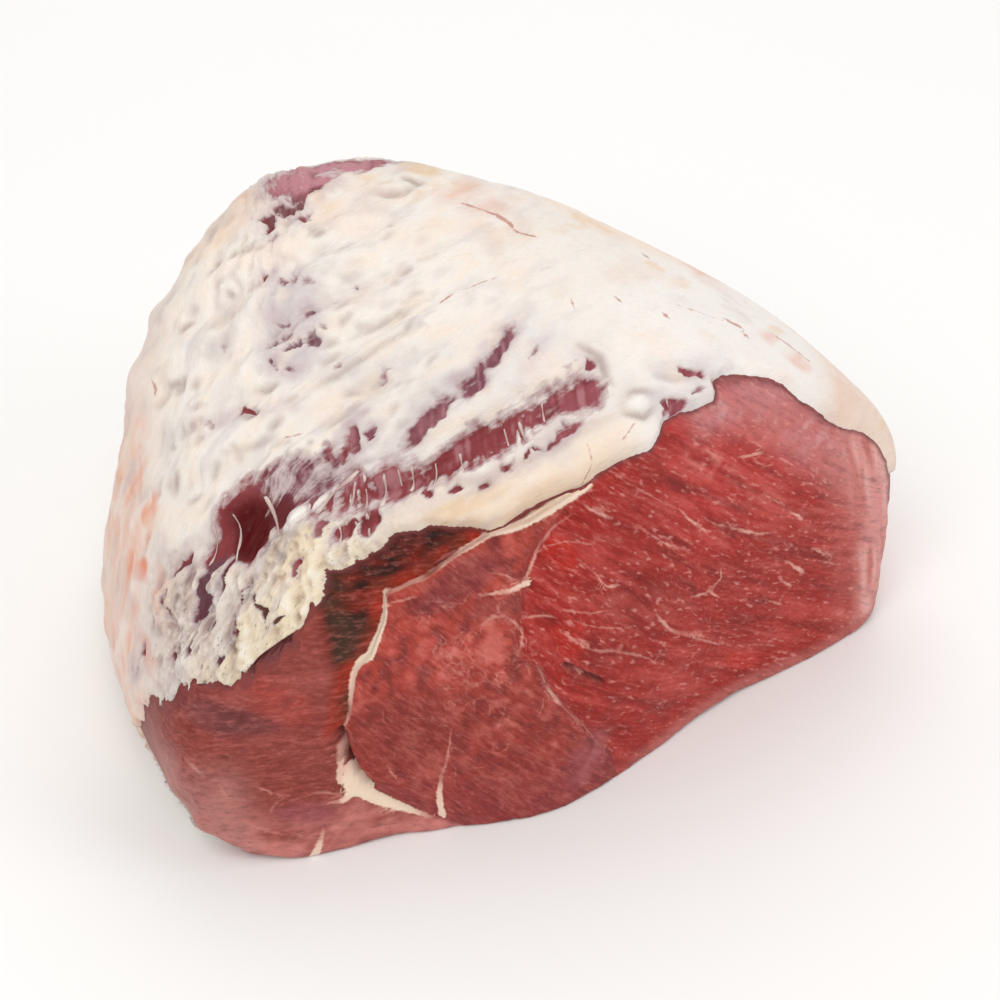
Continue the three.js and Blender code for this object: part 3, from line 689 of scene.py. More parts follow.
line_parts = put("SeparateXYZ", {"Vector": lines}).node.outputs
dashes = put("TexNoise", {"Vector": fibres, "Scale": 0.7, "Detail": 1.0, "Roughness": 0.4})
toned = laid_over(put, toned, dashes, (1, 0, 0), 0.60, 0.78, 0.55, "#DC938A", specked)
fat_share = put("Math", {0: line_cover(put, lines, bundles, 0.7, 0.4), 1: line_parts[2]},
                operation="MULTIPLY", use_clamp=True)
broad_line = put("MapRange", {"Value": line_parts[1], "From Min": 0.25, "From Max": 1.3})
line_colour = put("Mix", {0: broad_line, 6: "#DB9488", 7: "#EBD3BD"}, output=2, data_type="RGBA")
toned = put("Mix", {0: fat_share, 6: toned, 7: line_colour}, output=2, data_type="RGBA")
height = put("VectorMath", {0: three, 1: (0.6, 0.25, 0.5)}, operation="DOT_PRODUCT", output="Value")
bump = put("Bump", {"Height": height, "Strength": 0.5, "Distance": 0.0007})
shader = put("BsdfPrincipled", {
    "Base Color": toned, "Roughness": 0.42, "Specular IOR Level": 0.2, "Subsurface Weight": 0.1,
    "Subsurface Radius": (0.004, 0.0014, 0.0008), "Subsurface Scale": 0.5, "Normal": bump})
put("OutputMaterial", {"Surface": shader})

lean = make_piece("lean", lean_points, quads, triangles, fresh_beef, {
    "flesh": flesh, "fibre": np.stack([fibre_u / 3.0, fibre_w, y * 0.6], -1),
    "line": np.stack([line_off, line_half, line_plain], -1), "flecked": flecked})
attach(lean, "root")
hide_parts("topside")

# ---- Fat cap: fat and silver skin over the top, the back and both ends ----------------------------
# A sheet of cream beef fat, two to six millimetres thick, that grew on the muscle and stays on
# when the joint is trimmed. It thins to silver skin over the dark strip and is torn off in places.

CAP_COLUMNS, CAP_ROWS, CAP_FINE_ROWS, CAP_ROW_GROWTH = 432, 213, 165, 1.05
SEEN_ALONG, COARSER = (-135, 135), 2.4  # columns lie closer together where the camera sees the rim
INSET, INSET_RIGHT = 8, 12  # the sheet starts this far inside the cut, where it is buried in the lean
TUCK = 3.0  # degrees that its lower edge is turned in under the joint


def evenly(way, count, weight=1.0):
    """Spreads a row of directions along the form, closer together where the weight is higher."""
    place = HEART + way / presses(way)[3][:, None]
    lengths = np.linalg.norm(np.diff(place, axis=0), axis=1) * np.broadcast_to(weight, len(way))[1:]
    walked = np.concatenate([[0], np.cumsum(lengths)])
    even = np.linspace(0, walked[-1], count + 1)
    way = np.stack([np.interp(even, walked, way[:, k]) for k in range(3)], -1)
    return way / np.linalg.norm(way, axis=1, keepdims=True)


edge = np.concatenate([sides["left"][:-1], sides["high"][:-1], sides["right"][::-1]])
inward = np.stack([np.clip(edge[:, 0], -95, 95), 0 * edge[:, 0]], -1) - edge
inward /= np.linalg.norm(inward, axis=1, keepdims=True)
inset = INSET + INSET_RIGHT * smooth(edge[:, 0], 60, 100)
edge = edge + inward * inset[:, None]
seen_here = (edge[:, 0] > SEEN_ALONG[0]) & (edge[:, 0] < SEEN_ALONG[1])
cap_start = evenly(wrap(edge[:, 0], edge[:, 1]), CAP_COLUMNS, np.where(seen_here, COARSER, 1.0))

toes = np.degrees(np.arctan2(cap_start[[0, -1], 1], cap_start[[0, -1], 0]))
turns = np.linspace(toes[0] - 1.0, toes[1] - 360 + 1.0, CAP_COLUMNS + 1)
low, high = np.full(turns.shape, -60.0), np.full(turns.shape, 0.0)
for _ in range(24):
    lift = (low + high) / 2
    way = facing(turns, lift)
    below = form(way)["radius"] * way[:, 2] < -HEART[2]
    low, high = np.where(below, lift, low), np.where(below, high, lift)
cap_end = evenly(facing(turns, high - TUCK), CAP_COLUMNS)

gap = np.linalg.norm(cap_start - cap_end, axis=1, keepdims=True)
cap_over = (cap_start + cap_end) / 2 + gap * (0.0, 0.05, 0.8)


def arch(v):
    """Directions over the joint: bent lines, weighed (1-v)^2, 2v(1-v) and v^2 from start over top to end."""
    way = (1 - v) ** 2 * cap_start + 2 * v * (1 - v) * cap_over + v ** 2 * cap_end
    return way / np.linalg.norm(way, axis=-1, keepdims=True)


coarse = np.linspace(0, 1, 90)
trial = arch(coarse[:, None, None])
place = trial / presses(trial)[3][..., None]
walked = np.cumsum(np.linalg.norm(np.diff(place, axis=0, prepend=place[:1]), axis=2), 0)
steps = CAP_ROW_GROWTH ** np.maximum(np.arange(CAP_ROWS) - CAP_FINE_ROWS, 0)
shares = np.concatenate([[0], np.cumsum(steps)]) / steps.sum()
v = np.stack([np.interp(shares, walked[:, k] / walked[-1, k], coarse) for k in range(CAP_COLUMNS + 1)], 1)
cap_ways = arch(v[..., None]).reshape(-1, 3)

cap = form(cap_ways)
point, a, r, e, seen = (cap[k] for k in ("point", "across", "rise", "past_edge", "seen"))

# Bare places, where the dark muscle shows: across, rise, half length, half width, slope in degrees,
# and how bare they are (1: no skin is left, 0: hidden).
BARE = np.array([
    (-0.5, 102, 8.5, 2.4, 55, 0.8), (-9, 90.5, 6.5, 3.2, 50, 0.85), (-23.5, 78, 12, 2.8, 47, 0.9),
    (-49, 69, 8.5, 2.6, 65, 0.85), (19.5, 72.5, 8, 1.7, 36, 0.9), (-57, 173, 21, 5, 12, 0.95),
    (-70, 164, 13, 6.5, 22, 0.8), (-66, 160, 6, 1.8, 20, 1.0), (-72, 161, 2.4, 2.0, 0, 0.75),
    (-74, 153, 5.5, 1.6, 32, 0.8), (-69, 151, 4.5, 1.5, 12, 0.6), (-81, 148.5, 2.4, 2.4, 0, 0.85),
    (-78, 142, 2.0, 1.8, 0, 0.45), (-80, 127, 2.3, 1.3, 35, 1.1), (-74, 125, 1.4, 1.4, 0, 0.6),
    (-70, 126, 2.6, 1.7, 20, 0.6), (-64, 124, 2.6, 2.2, 0, 0.5), (-65, 114, 2.4, 1.6, 10, 0.85),
    (-73, 111, 1.8, 1.8, 0, 0.6), (-70, 107, 3.2, 2.0, 60, 0.6), (-75, 104, 3.4, 2.0, 50, 0.75),
    (-68, 103, 2.6, 1.1, 30, 0.8), (-62, 104, 2.6, 1.2, 40, 0.65), (-74, 96, 1.5, 1.2, 0, 0.85),
    (-69, 95.5, 2.0, 1.5, 0, 0.85), (-56, 118, 1.3, 1.0, 0, 0.6), (-49, 124, 1.6, 1.2, -40, 0.5),
    (-67, 130, 1.2, 1.0, 0, 0.4), (-83, 79.5, 4.5, 1.0, 10, 0.75), (-42, 73, 1.6, 1.0, 80, 0.9),
    (-52, 94, 2.5, 0.9, 20, 0.4), (-38, 92, 3, 0.9, 30, 0.4), (55, 81, 4.4, 2.3, -4, 0.95),
    (61, 92, 3.2, 1.2, 0, 0.8), (70, 89, 2.2, 1.6, 60, 0.5), (63, 86, 3.0, 1.0, 60, 0.5),
    (29.5, 96.5, 2.4, 1.4, -30, 0.85), (2, 108, 2.0, 0.9, 50, 0.4), (12, 99, 3.0, 1.1, 60, 0.55),
    (30, 90, 2.5, 2.5, 80, 0.9), (-82.5, 38.5, 7.5, 5.0, 80, 1.3), (-73, 47, 6, 3.5, 70, 1.0),
    (-92.5, 35, 8.5, 2.6, 68, 1.05), (-96.5, 19, 10, 1.9, 82, 0.95), (-88.5, 27, 7, 1.5, 74, 1.0),
    (-103, 31, 4, 1.1, 45, 0.8), (-75.5, 17, 5.5, 0.9, 98, 1.0), (-82, 19, 3.5, 0.8, 85, 0.9),
    (-107, 16, 6, 0.8, 96, 0.8), (-117, 2, 2.4, 0.9, 70, 0.9), (-118, -4, 1.8, 0.9, 60, 0.85),
    (-92, 11, 2.6, 0.9, 75, 0.95), (-90, 0, 1.8, 0.9, 20, 0.9), (-106, 1, 2.0, 0.9, 70, 0.85),
    (-99, 5, 3.5, 0.8, 80, 0.85), (-77, 21, 2.2, 1.0, 60, 0.9), (-84, 10, 3.2, 0.8, 100, 0.85),
    (-112, 12, 3.0, 0.7, 80, 0.7), (-70, 13, 2.2, 0.8, 60, 0.8), (-95, -2, 1.6, 0.8, 90, 0.8),
    (-58, 42, 3.2, 2.0, 60, 0.95), (-50, 41, 4.5, 2.6, 50, 0.9), (-42, 44, 3.5, 2.4, 60, 0.9),
    (-65.5, 29, 2.2, 1.3, 90, 0.95), (-14, 55, 2.4, 1.5, 0, 0.9), (-6, 56, 2.2, 1.4, 0, 0.8),
    (-22, 52, 2.2, 1.4, 0, 0.8), (3, 62, 2.2, 1.4, 20, 0.85), (10, 66, 2.6, 1.2, 30, 0.8),
    (-58, 108, 1.6, 1.0, 30, 0.4), (-93, 103, 1.8, 0.9, 60, 0.35), (-96, 76, 2.5, 0.8, 45, 0.35),
])
STRIP_LOW = [
    (-97, 30), (-92, 34), (-88, 32), (-81, 32), (-77, 39), (-70, 46), (-55, 47), (-43, 50), (-26, 54),
    (-19, 58), (-6, 64), (7, 71), (20, 79), (33, 83), (36, 88),
]
STRIP_HIGH = [
    (-97, 32), (-92, 46), (-82, 57), (-70, 64), (-55, 67), (-43, 62), (-24, 66), (-17, 70), (-5, 77),
    (5, 83), (20, 91), (30, 93), (36, 90),
]
strip_low, strip_high = (np.interp(a, *np.array(path).T) for path in (STRIP_LOW, STRIP_HIGH))

slope = STREAK_SLOPE + np.radians(42) * fade(a, -95, -60)
comb_u = a * np.cos(slope) + r * np.sin(slope)
comb_v = r * np.cos(slope) - a * np.sin(slope)
comb = flat(comb_u / 4.5, comb_v)  # 4.5 times longer along the comb strokes
streaks = lumps(comb, 2.6, 31, 3)
broad = lumps(comb * (1.5, 1, 1), 10, 33, 2)  # strokes 10 mm across and 30 mm long
clumps = lumps(comb * (2.2, 1, 1), 4.5, 34, 3)  # clumps 4 mm across
upright = flat(a + 0.12 * r, (r - 0.12 * a) / 5.0)
combed_down = lumps(upright, 2.4, 36, 2)  # vertical streaks 2 mm across
right_shoulder = smooth(a - 0.25 * r, -25, 35)
lumpy = (1 - 0.62 * smooth(a, -70, -20)) * (1 - 0.8 * right_shoulder) * seen
left_of_strip = fade(a, -106, -94)
below_strip = smooth(strip_low - r + left_of_strip * (4 + 7 * clumps),
                     -1 - 7 * left_of_strip, 4 + 8 * left_of_strip)
crumbs = below_strip * fade(a, -50, -22) * smooth(a, -117, -104) * fade(r - 0.5 * (a + 100), 26, 56) * seen


def creased(place, size, seed, layers, sharpness=0.75):
    """Lumps parted by creases where the noise n is 0: 1 - 2.2 |n|^sharpness."""
    return 1 - 2.2 * np.abs(lumps(place, size, seed, layers)) ** sharpness


flakes = creased(flat(a, r / 1.7), 5.0, 35, 3)  # flakes 3 mm wide, 5 mm long

a_bent = a + 2.8 * lumps(point, 4.5, 38, 2)  # the bare places have ragged outlines
r_bent = r + 2.8 * lumps(point, 4.5, 39, 2)
bare = np.minimum(r_bent - strip_low, strip_high - r_bent - 1.5 * clumps) * 0.85
bare = np.where((a > -97) & (a < 36.5), bare, -20)
halo = np.zeros(len(a))
haze = oval(a, r, -64, 58, 17, 9, 10)  # a skin is left on the strip's upper left part
FULL_FILM = 2.6  # no muscle shows through
film = np.clip(0.3 - 0.42 * bare, -1.0 + 1.1 * haze, FULL_FILM)
for across, rise, half_long, half_wide, slope, how_bare in BARE:
    slope = np.radians(slope)
    u = (a_bent - across) * np.cos(slope) + (r_bent - rise) * np.sin(slope)
    w = (r_bent - rise) * np.cos(slope) - (a_bent - across) * np.sin(slope)
    reach = np.hypot(u / half_long, w / half_wide)
    film = np.minimum(film, FULL_FILM - (1.3 + 2.6 * how_bare) * fade(reach, 0.5, 1.8))
    bare = np.maximum(bare, (1 - reach) * half_wide)
    halo = np.maximum(halo, min(how_bare, 1) * fade(np.abs(reach - 1) * half_wide, 0.5, 4.5))
near_bare = smooth(bare, -8, -1) * seen
fine_down = lumps(upright * (1.8, 1, 1), 2.4, 37, 2)  # vertical streaks 1.3 mm across
film += near_bare * (0.9 * streaks + 0.9 * clumps + 0.5 * combed_down * smooth(-a, 30, 60)) + 0.3 * broad
lower_bank = bell(r - strip_low - 3, 3.5) * smooth(a, -70, -58) * fade(a, 5, 20)
film += 2.0 * near_bare * lower_bank * (fine_down - 0.1)
film = np.where(bare < -8, np.maximum(film, 1.4), film)
film -= 2.4 * oval(a, r, -82.5, 38.5, 7, 4.8, 80) + 1.0 * oval(a, r, -73, 47, 5.5, 3.0, 70)
film += 3.0 * oval(a, r, -67, 45, 5.5, 3.4, 60) + 1.6 * oval(a, r, -58, 52, 6, 1.6, 52)
chips = creased(flat(a, r / 1.4), 2.4, 45, 2)
crumb_relief = 0.6 * flakes + 0.45 * chips + 0.4 * combed_down + 0.25 * fine_down - 0.2
film -= crumbs * smooth(e, 6, 16) * 0.9 * smooth(-crumb_relief, 0.1, 0.7) * smooth(film, 0, 1.5)
film = 1.6 + (film - 1.6) * smooth(seen + 0.5 * lumps(point, 6, 73, 3), 0.1, 0.6)
thin_behind = (1 - seen) * smooth(lumps(point * (1, 1, 1.5), 26, 71, 3), 0.2, 0.6)
thin_behind *= smooth(cap["over"], 8, 20)
film += 0.3 * (1 - seen) - thin_behind * (1.3 + 2.0 * lumps(point * (1.3, 1.3, 0.5), 3.5, 74, 2))

# Folds that the knife and the hand left in the skin: chart path, depth in mm. The rest are drawn at random.
FOLDS = [
    ([(-48, 161), (-40, 158.5), (-34, 159.5), (-29, 163)], 1.5),
    ([(-36, 166), (-29, 163.5), (-25, 164)], 1.0), ([(-102, 87), (-101, 93)], 0.8),
    ([(-82, 87), (-77, 88), (-72, 91)], 0.8), ([(-102, 73), (-97, 79)], 0.9),
    ([(-86, 80), (-82, 78.5), (-77, 81)], 1.2), ([(-66, 85), (-52, 93), (-38, 102), (-24, 110)], 0.8),
    ([(-52, 104), (-36, 113), (-22, 121)], 0.7), ([(-93, 101), (-91, 108)], 0.7),
    ([(-58, 74), (-50, 79), (-46, 85)], 0.9), ([(-101, 80), (-96, 84)], 0.7),
    ([(-90, 66), (-80, 69), (-72, 74)], 0.7), ([(24, 104), (33, 98), (39, 88)], 0.9),
    ([(38, 79.5), (45, 77.5), (50, 82)], 1.0), ([(48, 92), (56, 90), (64, 92)], 0.8),
    ([(40.5, 84), (42, 86.5), (47, 86), (51, 84)], 0.9), ([(-107, 52), (-104, 62)], 0.8),
]
fold_draw = np.random.default_rng(3)
for _ in range(130):
    at = fold_draw.uniform((-112, 50), (-20, 150))
    tilt = STREAK_SLOPE + np.radians(30) * (at[0] < -85) + fold_draw.normal(0, 0.25)
    run = fold_draw.uniform(1.2, 5.5) * np.array([np.cos(tilt), np.sin(tilt)])
    bow = fold_draw.normal(0, 0.12) * np.array([-run[1], run[0]])
    FOLDS.append(([at - run, at + bow, at + run], fold_draw.uniform(0.2, 0.9)))
fold_rise, fold_shade = np.zeros(len(a)), np.zeros(len(a))
for path, deep in FOLDS:
    middle = np.mean(path, 0)
    near = np.flatnonzero((np.abs(a - middle[0]) < 26) & (np.abs(r - middle[1]) < 26) & (seen > 0.1))
    off, gone = along_path(a[near], r[near], path)
    run = np.hypot(*np.diff(np.array(path), axis=0).T).sum()
    ends = np.clip(4 * gone / run * (1 - gone / run), 0, 1)
    fold_rise[near] += deep * ends * (1.0 * bell(off - 1.6, 1.3) - 0.8 * bell(off + 0.6, 0.8))
    fold_shade[near] = np.maximum(fold_shade[near], min(deep, 1) * ends * bell(off + 0.5, 0.75))

roll = smooth(a, -34, -16) * fade(a, 30, 50) * seen  # the thick rolled rim over the cut
back, hidden_point = 1 - cap["shown"], point * (1, 1, 1.4)
behind_folds = creased(hidden_point, 21, 43, 3, 0.8)  # soft lobes parted by shallow furrows
KNOBS = [  # small knobs of fat: across, rise, height, and how wide, tall and broad they are
    (-66, 44, 2.6 * seen, 1.0, 1.5, 1.9), (45, 82, 1.3 * seen, 1.4, 1.0, 1.4),
    (-88, 49, 1.4 * seen, 1.0, 2.2, 1.2), (-121, 116, 3.0, 1.2, 1.0, 4.0), (-124, 90, 3.2, 1.3, 1.8, 6.0),
]
detail = 0.35 * lumps(point, 14, 41) + 0.5 * streaks * lumpy + fold_rise  # relief in mm
detail += (0.3 + lumpy) * broad * (1 - right_shoulder) + 1.3 * lumpy * clumps + 1.5 * crumbs * crumb_relief
detail -= 1.1 * fade(film, -0.4, 1.3) + 0.5 * near_bare * fade(film, 0.2, 1.5)
detail += roll * (1.5 * bell(e - 6.5, 3.6) - bell(e - 14.5, 2.2)
                  - 0.7 * bell(e - 2.2, 0.8) * smooth(a, -8, 4))
for across, rise, high, wide, tall, broad_by in KNOBS:
    detail += high * bell(np.hypot((a - across) / wide, (r - rise) / tall), broad_by)
detail += back * fade(seen, 0.0, 0.5) * (2.2 * behind_folds + 1.2 * lumps(hidden_point, 8, 44, 3) - 0.9)
outer = cap["radius"] + cap["rim"] + cap["cap"] + detail * smooth(e, 0, 3) - 4.0 * smooth(-e, -0.3, 1.6)
cap_points = HEART + cap_ways * above_floor(cap_ways, outer, 0.3)[:, None]

# The muscle under the thin places: maroon, dusty pink at the top, and almost black in the two sunk bare
# holes, where painted shade darkens its own maroon.
muscle_streaks = 0.6 * streaks + 0.6 * fine_down  # the grain of the muscle, 1 to 3 mm apart
under = painted("#8B3D40", [
    ("#9A5558", 1 - seen),
    ("#74414C", haze * 0.9),
    ("#8E5A64", smooth(r - strip_high, 0, 6) * smooth(a, -60, -40) * fade(r, 130, 140) * 0.8),
    # painted shade in the two sunk bare holes, over the muscle's own dark maroon
    ("#540A0C", oval(a, r, -82.5, 41, 12, 8.5, 80)),
    ("#64252A", oval(a, r, -73, 47, 7, 5, 70) * 0.9),
    ("#934A52", smooth(a, 0, 25)),
    ("#BC7F88", oval(a, r, -64, 167, 22, 9, 15)),
    ("#8C4A50", oval(a, r, -64, 160, 8, 2.4, 20) * 0.9 + oval(a, r, -60, 177, 11, 3, 10) * 0.7),
    ("#7A4A4F", oval(a, r, -75, 152, 9, 5, 30)),
    ("#86646B", oval(a, r, -69, 107, 17, 26, 0)),
    ("#7E4A55", oval(a, r, -6, 97, 9, 18, -35)),
    ("#7F3D26", oval(a, r, -80, 127, 5, 5)),
    ("#6A444C", crumbs * smooth(a, -112, -96) * fade(a, -90, -82)),
    ("#63493D", crumbs * smooth(a, -84, -79) * fade(r, 22, 28) * 0.9),
    ("#5C473C", crumbs * fade(a, -112, -104) * 0.9),
    ("#5A2024", smooth(muscle_streaks, 0.0, 0.4) * 0.5 * seen),
    ("#BC8A90", smooth(-muscle_streaks, 0.05, 0.45) * 0.5 * seen * smooth(a, -74, -60)),
])

# The colour of the fat: cool white where it is thin, cream where it is thick, blushed here and there, with
# painted shade in its dips, groove and furrows and painted light on the tops of its lumps and crumbs.
patchy = lumps(point, 17, 51)
small_patches = lumps(comb, 6, 52)
edge_streaks = lumps(point * (1, 1, 0.3), 7, 61, 3)
left_end = fade(a, -124, -114) * fade(r, 70, 100) * (0.2 + 0.8 * smooth(seen, 0.1, 0.75))
# how high the crumbs stand, which sets painted shade in their dips and painted light on their tops
crumb_light_and_shade = crumb_relief - 0.3 * smooth(e, 8, 22) + 0.15
cream = smooth(0.09 * (a + 84) - 0.11 * (e - 13) + 1.2 * clumps, -0.6, 1.0)  # low down and to the right
mottled = lumps(comb * (1.6, 1, 1), 3.6, 53, 3)  # small patches, creamy and bluish grey
# Orange streaks down the left end: across, rise, half length, half width, slope, strength.
ORANGE_STREAKS = [
    (-114, 46, 11, 1.9, 78, 0.9), (-116, 28, 5, 2.2, 84, 0.9), (-109, 16, 17, 2.0, 96, 0.75),
    (-106, 22, 9, 1.1, 88, 0.7), (-120, 56, 10, 1.4, 82, 0.5), (-118, 12, 9, 1.6, 100, 0.6),
    (-113, 0, 10, 2.2, 110, 0.6), (-122, 34, 12, 1.3, 88, 0.5),
]
skin = painted("#E9E0D7", [
    ("#EEE7E1", smooth(a, 10, 70) * seen),  # smooth bright right shoulder
    ("#F0E4D8", oval(a, r, -95, 122, 30, 22, 50) * seen * 0.6),
    ("#EAD7C3", fade(e, 9, 16) * roll * 0.95),  # rolled rim
    # the roll's yellow lower band: its own colour, and partly painted shade on the roll's under side
    ("#D3AE88", fade(e, 2.5, 8) * roll * (0.45 + 0.7 * small_patches)),
    ("#DDBC92", oval(a, r, -10, 50, 15, 3.4, 24) * seen * 0.6),
    # painted shade in the groove above the roll
    ("#C9B3A2", roll * bell(e - 14.5, 1.3) * 0.6),
    ("#E6CBB8", smooth(a, 104, 118) * seen * 0.8),  # cut edge of the fat, far right
    ("#E4A996", oval(a, r, 97, 101, 13, 3.6, -42) * seen * (0.35 + 0.9 * small_patches)),
    ("#F0D8C2", oval(a, r, 40, 154, 52, 9, -25) * seen * 0.7),
    ("#ECCDB2", oval(a, r, -98, 146, 24, 6, 40) * seen * (0.6 + 0.5 * small_patches)),
    ("#E0BD93", oval(a, r, -29, 170, 9, 4, -10) * seen * 0.8),
    ("#E8D0B0", oval(a, r, -42, 89, 9, 4, 35) * seen * 0.6),
    ("#E3C9BC", fade(a, -124, -106) * seen * 0.7),
    ("#EBB79E", left_end * (0.45 + 0.9 * edge_streaks)),
    ("#C9A09A", left_end * smooth(-edge_streaks, 0.1, 0.5) * 0.6),
    ("#E3A68C", left_end * smooth(edge_streaks, 0.05, 0.45) * 0.8),
    *(("#E08F70", oval(a_bent, r_bent, across, rise, half_long, 1.3 * half_wide, slope)
       * seen * share * (0.8 + 1.6 * edge_streaks))
      for across, rise, half_long, half_wide, slope, share in ORANGE_STREAKS),
    ("#C8B6AC", crumbs * 0.9),
    ("#DCC7AB", crumbs * cream),
    # The crumbs are painted by their height over their own cream and grey-brown: painted shade in the dips,
    # darkest in the deepest, and painted light on the tops.
    ("#9A807C", crumbs * smooth(-crumb_light_and_shade, -0.1, 0.5) * (1 - 0.6 * cream)),
    ("#A98D72", crumbs * smooth(-crumb_light_and_shade, 0.0, 0.6) * cream * 0.9),
    ("#6E5147", crumbs * smooth(-crumb_light_and_shade, 0.45, 0.95) * 0.8),
    ("#DDD3CC", crumbs * smooth(crumb_light_and_shade, 0.15, 0.6) * (1 - cream)),
    ("#EAD9BC", crumbs * smooth(crumb_light_and_shade, 0.05, 0.5) * cream),
    ("#F2E8D8", crumbs * smooth(crumb_light_and_shade, 0.55, 1.0)),
    # Painted shade in the dips between the clumps of the lumpy fat and painted light on their tops.
    ("#BFB2AE", lumpy * (1 - crumbs) * smooth(-clumps - 0.4 * broad, 0.1, 0.7) * 0.6),
    ("#F1EBE4", lumpy * (1 - crumbs) * smooth(clumps + 0.4 * broad, 0.1, 0.7) * 0.5),
    ("#9C8479", fold_shade * 0.85),
    # two knobs
    ("#F6F1EA", oval(a, r, 45, 82, 4.5, 2.4, 5) * seen + oval(a, r, -67, 45, 5, 3.4, 60) * seen * 0.8),
    ("#DAD5D3", oval(a, r, 0, 98, 26, 15, 25) * seen * 0.6),  # silver skin over the muscle
    ("#C9BEBE", oval(a, r, -70, 110, 13, 20, 0) * seen * (0.7 + 0.8 * small_patches)),
    ("#BBA4A6", halo * seen * (1 - crumbs) * (0.5 + 0.9 * clumps)),
    ("#EEDCC8", seen * smooth(mottled, 0.1, 0.55) * 0.5 * fade(a, -10, 50)),
    ("#CCC3C0", seen * smooth(-mottled, 0.1, 0.55) * 0.5 * fade(a, -10, 50) * smooth(a, -116, -104)),
    ("#D3CBC8", near_bare * 0.5 * smooth(a, -60, -30) * (1 - roll)),
    ("#EBD2C0", smooth(patchy, 0.1, 0.6) * 0.4),
    ("#CFC7C3", smooth(-patchy, 0.2, 0.6) * 0.35 * (1 - smooth(a, 0, 50) * seen)),
    # creamier lobes behind
    ("#E5C6A4", back * smooth(behind_folds, 0.2, 0.9) * smooth(patchy + small_patches, 0.0, 0.6) * 0.55),
    # painted shade in the furrows between the lobes behind
    ("#C9B4AC", back * smooth(-behind_folds, -0.1, 0.6) * 0.6),
    ("#DDA896", back * smooth(lumps(point, 30, 72, 3), 0.2, 0.6) * (0.35 + 0.5 * small_patches)),
    ("#9A4E49", fade(e, -1.5, -0.3)),  # what sinks in the lean takes its colour
])

CAP_MARKS = [  # scratches and nicks: chart path, half width
    ([(-13, 155), (-8, 153.5), (0, 150), (6, 145), (12, 142.5)], 0.32), ([(-1, 150.5), (4, 147.5)], 0.6),
    ([(51, 138), (52, 137)], 0.4), ([(39, 119), (40, 118)], 0.4), ([(24, 118), (24.5, 116)], 0.3),
    ([(55, 113), (55.5, 112.5)], 0.5), ([(77, 112), (81, 109.5)], 0.55), ([(82, 106.5), (82.5, 106)], 0.5),
    ([(-19, 117.5), (-17, 119.5)], 0.45), ([(-12, 122), (-2, 126)], 0.1),
    ([(93, 108), (99, 104), (105, 98.5)], 0.2), ([(60, 117), (74, 112)], 0.05),
    ([(-114, 90), (-113, 86)], 0.3), ([(27, 68), (28, 62), (26, 56)], 0.1), ([(38, 70), (42, 75)], 0.1),
    ([(-70, 72), (-66, 73)], 0.2),
]
mark_off, mark_half, best = np.zeros(len(a)), np.full(len(a), NO_LINE), np.full(len(a), -50.0)
for path, half in CAP_MARKS:
    off, _ = along_path(a, r, path)
    inside = np.where(seen > 0.6, half - np.abs(off), -60.0)
    better = inside > best
    best, mark_off = np.where(better, inside, best), np.where(better, off, mark_off)
    mark_half = np.where(better, half - 6 * smooth(np.abs(off) - half, 1.2, 2.2), mark_half)

index = np.arange((CAP_ROWS + 1) * (CAP_COLUMNS + 1)).reshape(CAP_ROWS + 1, CAP_COLUMNS + 1)
quads = [grid_faces(index)]
ring = np.concatenate([index[0, :-1], index[:-1, -1], index[-1, :0:-1], index[:0:-1, 0]])
INNER_RINGS, INNER_DEEP, INNER_LIFT, CORE_UP = 5, 9, 3, 80  # the buried side of the sheet, in mm
centre = np.array([0.0, 0.35, 0.94])
inner_points = []
for number in range(1, INNER_RINGS + 1):
    way = turned_to(centre, cap_ways[ring], 0.9 * (number / INNER_RINGS) ** 1.5)
    inner_points.append(HEART + way * above_floor(way, 1 / presses(way)[3] - INNER_DEEP, INNER_LIFT)[:, None])
    outer_ring = index.size + (number - 1) * len(ring) + np.arange(len(ring))
    previous = ring if number == 1 else last_ring
    quads.append(np.stack([previous, np.roll(previous, -1), np.roll(outer_ring, -1), outer_ring], -1))
    last_ring = outer_ring
pole = index.size + INNER_RINGS * len(ring)
inner_points.append((HEART + centre * CORE_UP)[None])
triangles = np.stack([last_ring, np.roll(last_ring, -1), np.full(len(ring), pole)], -1)
points = np.concatenate([cap_points] + inner_points)
fill = len(points) - len(cap_points)

# Beef fat: soft, waxy and barely moist. Light passes into it, so its edges glow; where it thins to
# silver skin the dark muscle below shows, and fine white fibres are combed over it.
beef_fat, put = new_material("beef_fat")
combed, cover, muscle, skin_colour, marks = (
    put("Attribute", attribute_name=name, output=output) for name, output in (
        ("comb", "Vector"), ("film", "Fac"), ("under", "Color"), ("skin", "Color"), ("mark", "Vector")))
place = put("TexCoord", output="Object")
crumb = put("SeparateXYZ", {"Vector": marks}, output="Z")
# Noises: wisps are 3 by 12 mm and threads 1 by 4 mm along the comb strokes, and grains are 2.4 mm.
wisps = put("TexNoise", {
    "Vector": combed, "Scale": 0.30, "Detail": 3.0, "Roughness": 0.62, "Distortion": 0.3})
threads = put("TexNoise", {"Vector": combed, "Scale": 1.05, "Detail": 2.0, "Roughness": 0.6})
grains = put("TexNoise", {"Vector": place, "Scale": 420, "Detail": 3.0, "Roughness": 0.62})
three = put("CombineXYZ", {"X": wisps, "Y": threads, "Z": grains})
rough = put("VectorMath", {0: three, 1: (1.9, 1.5, 1.3)}, operation="DOT_PRODUCT", output="Value")
cover = put("Math", {0: cover, 1: rough}, operation="ADD")  # the noise adds 2.35 in the middle
veiled, whole = (
    put("MapRange", {"Value": cover, "From Min": low, "From Max": high}, interpolation_type="SMOOTHSTEP")
    for low, high in ((1.75, 3.0), (2.8, 3.7)))
toned = put("Mix", {0: veiled, 6: muscle, 7: "#C6B2B0"}, output=2, data_type="RGBA")
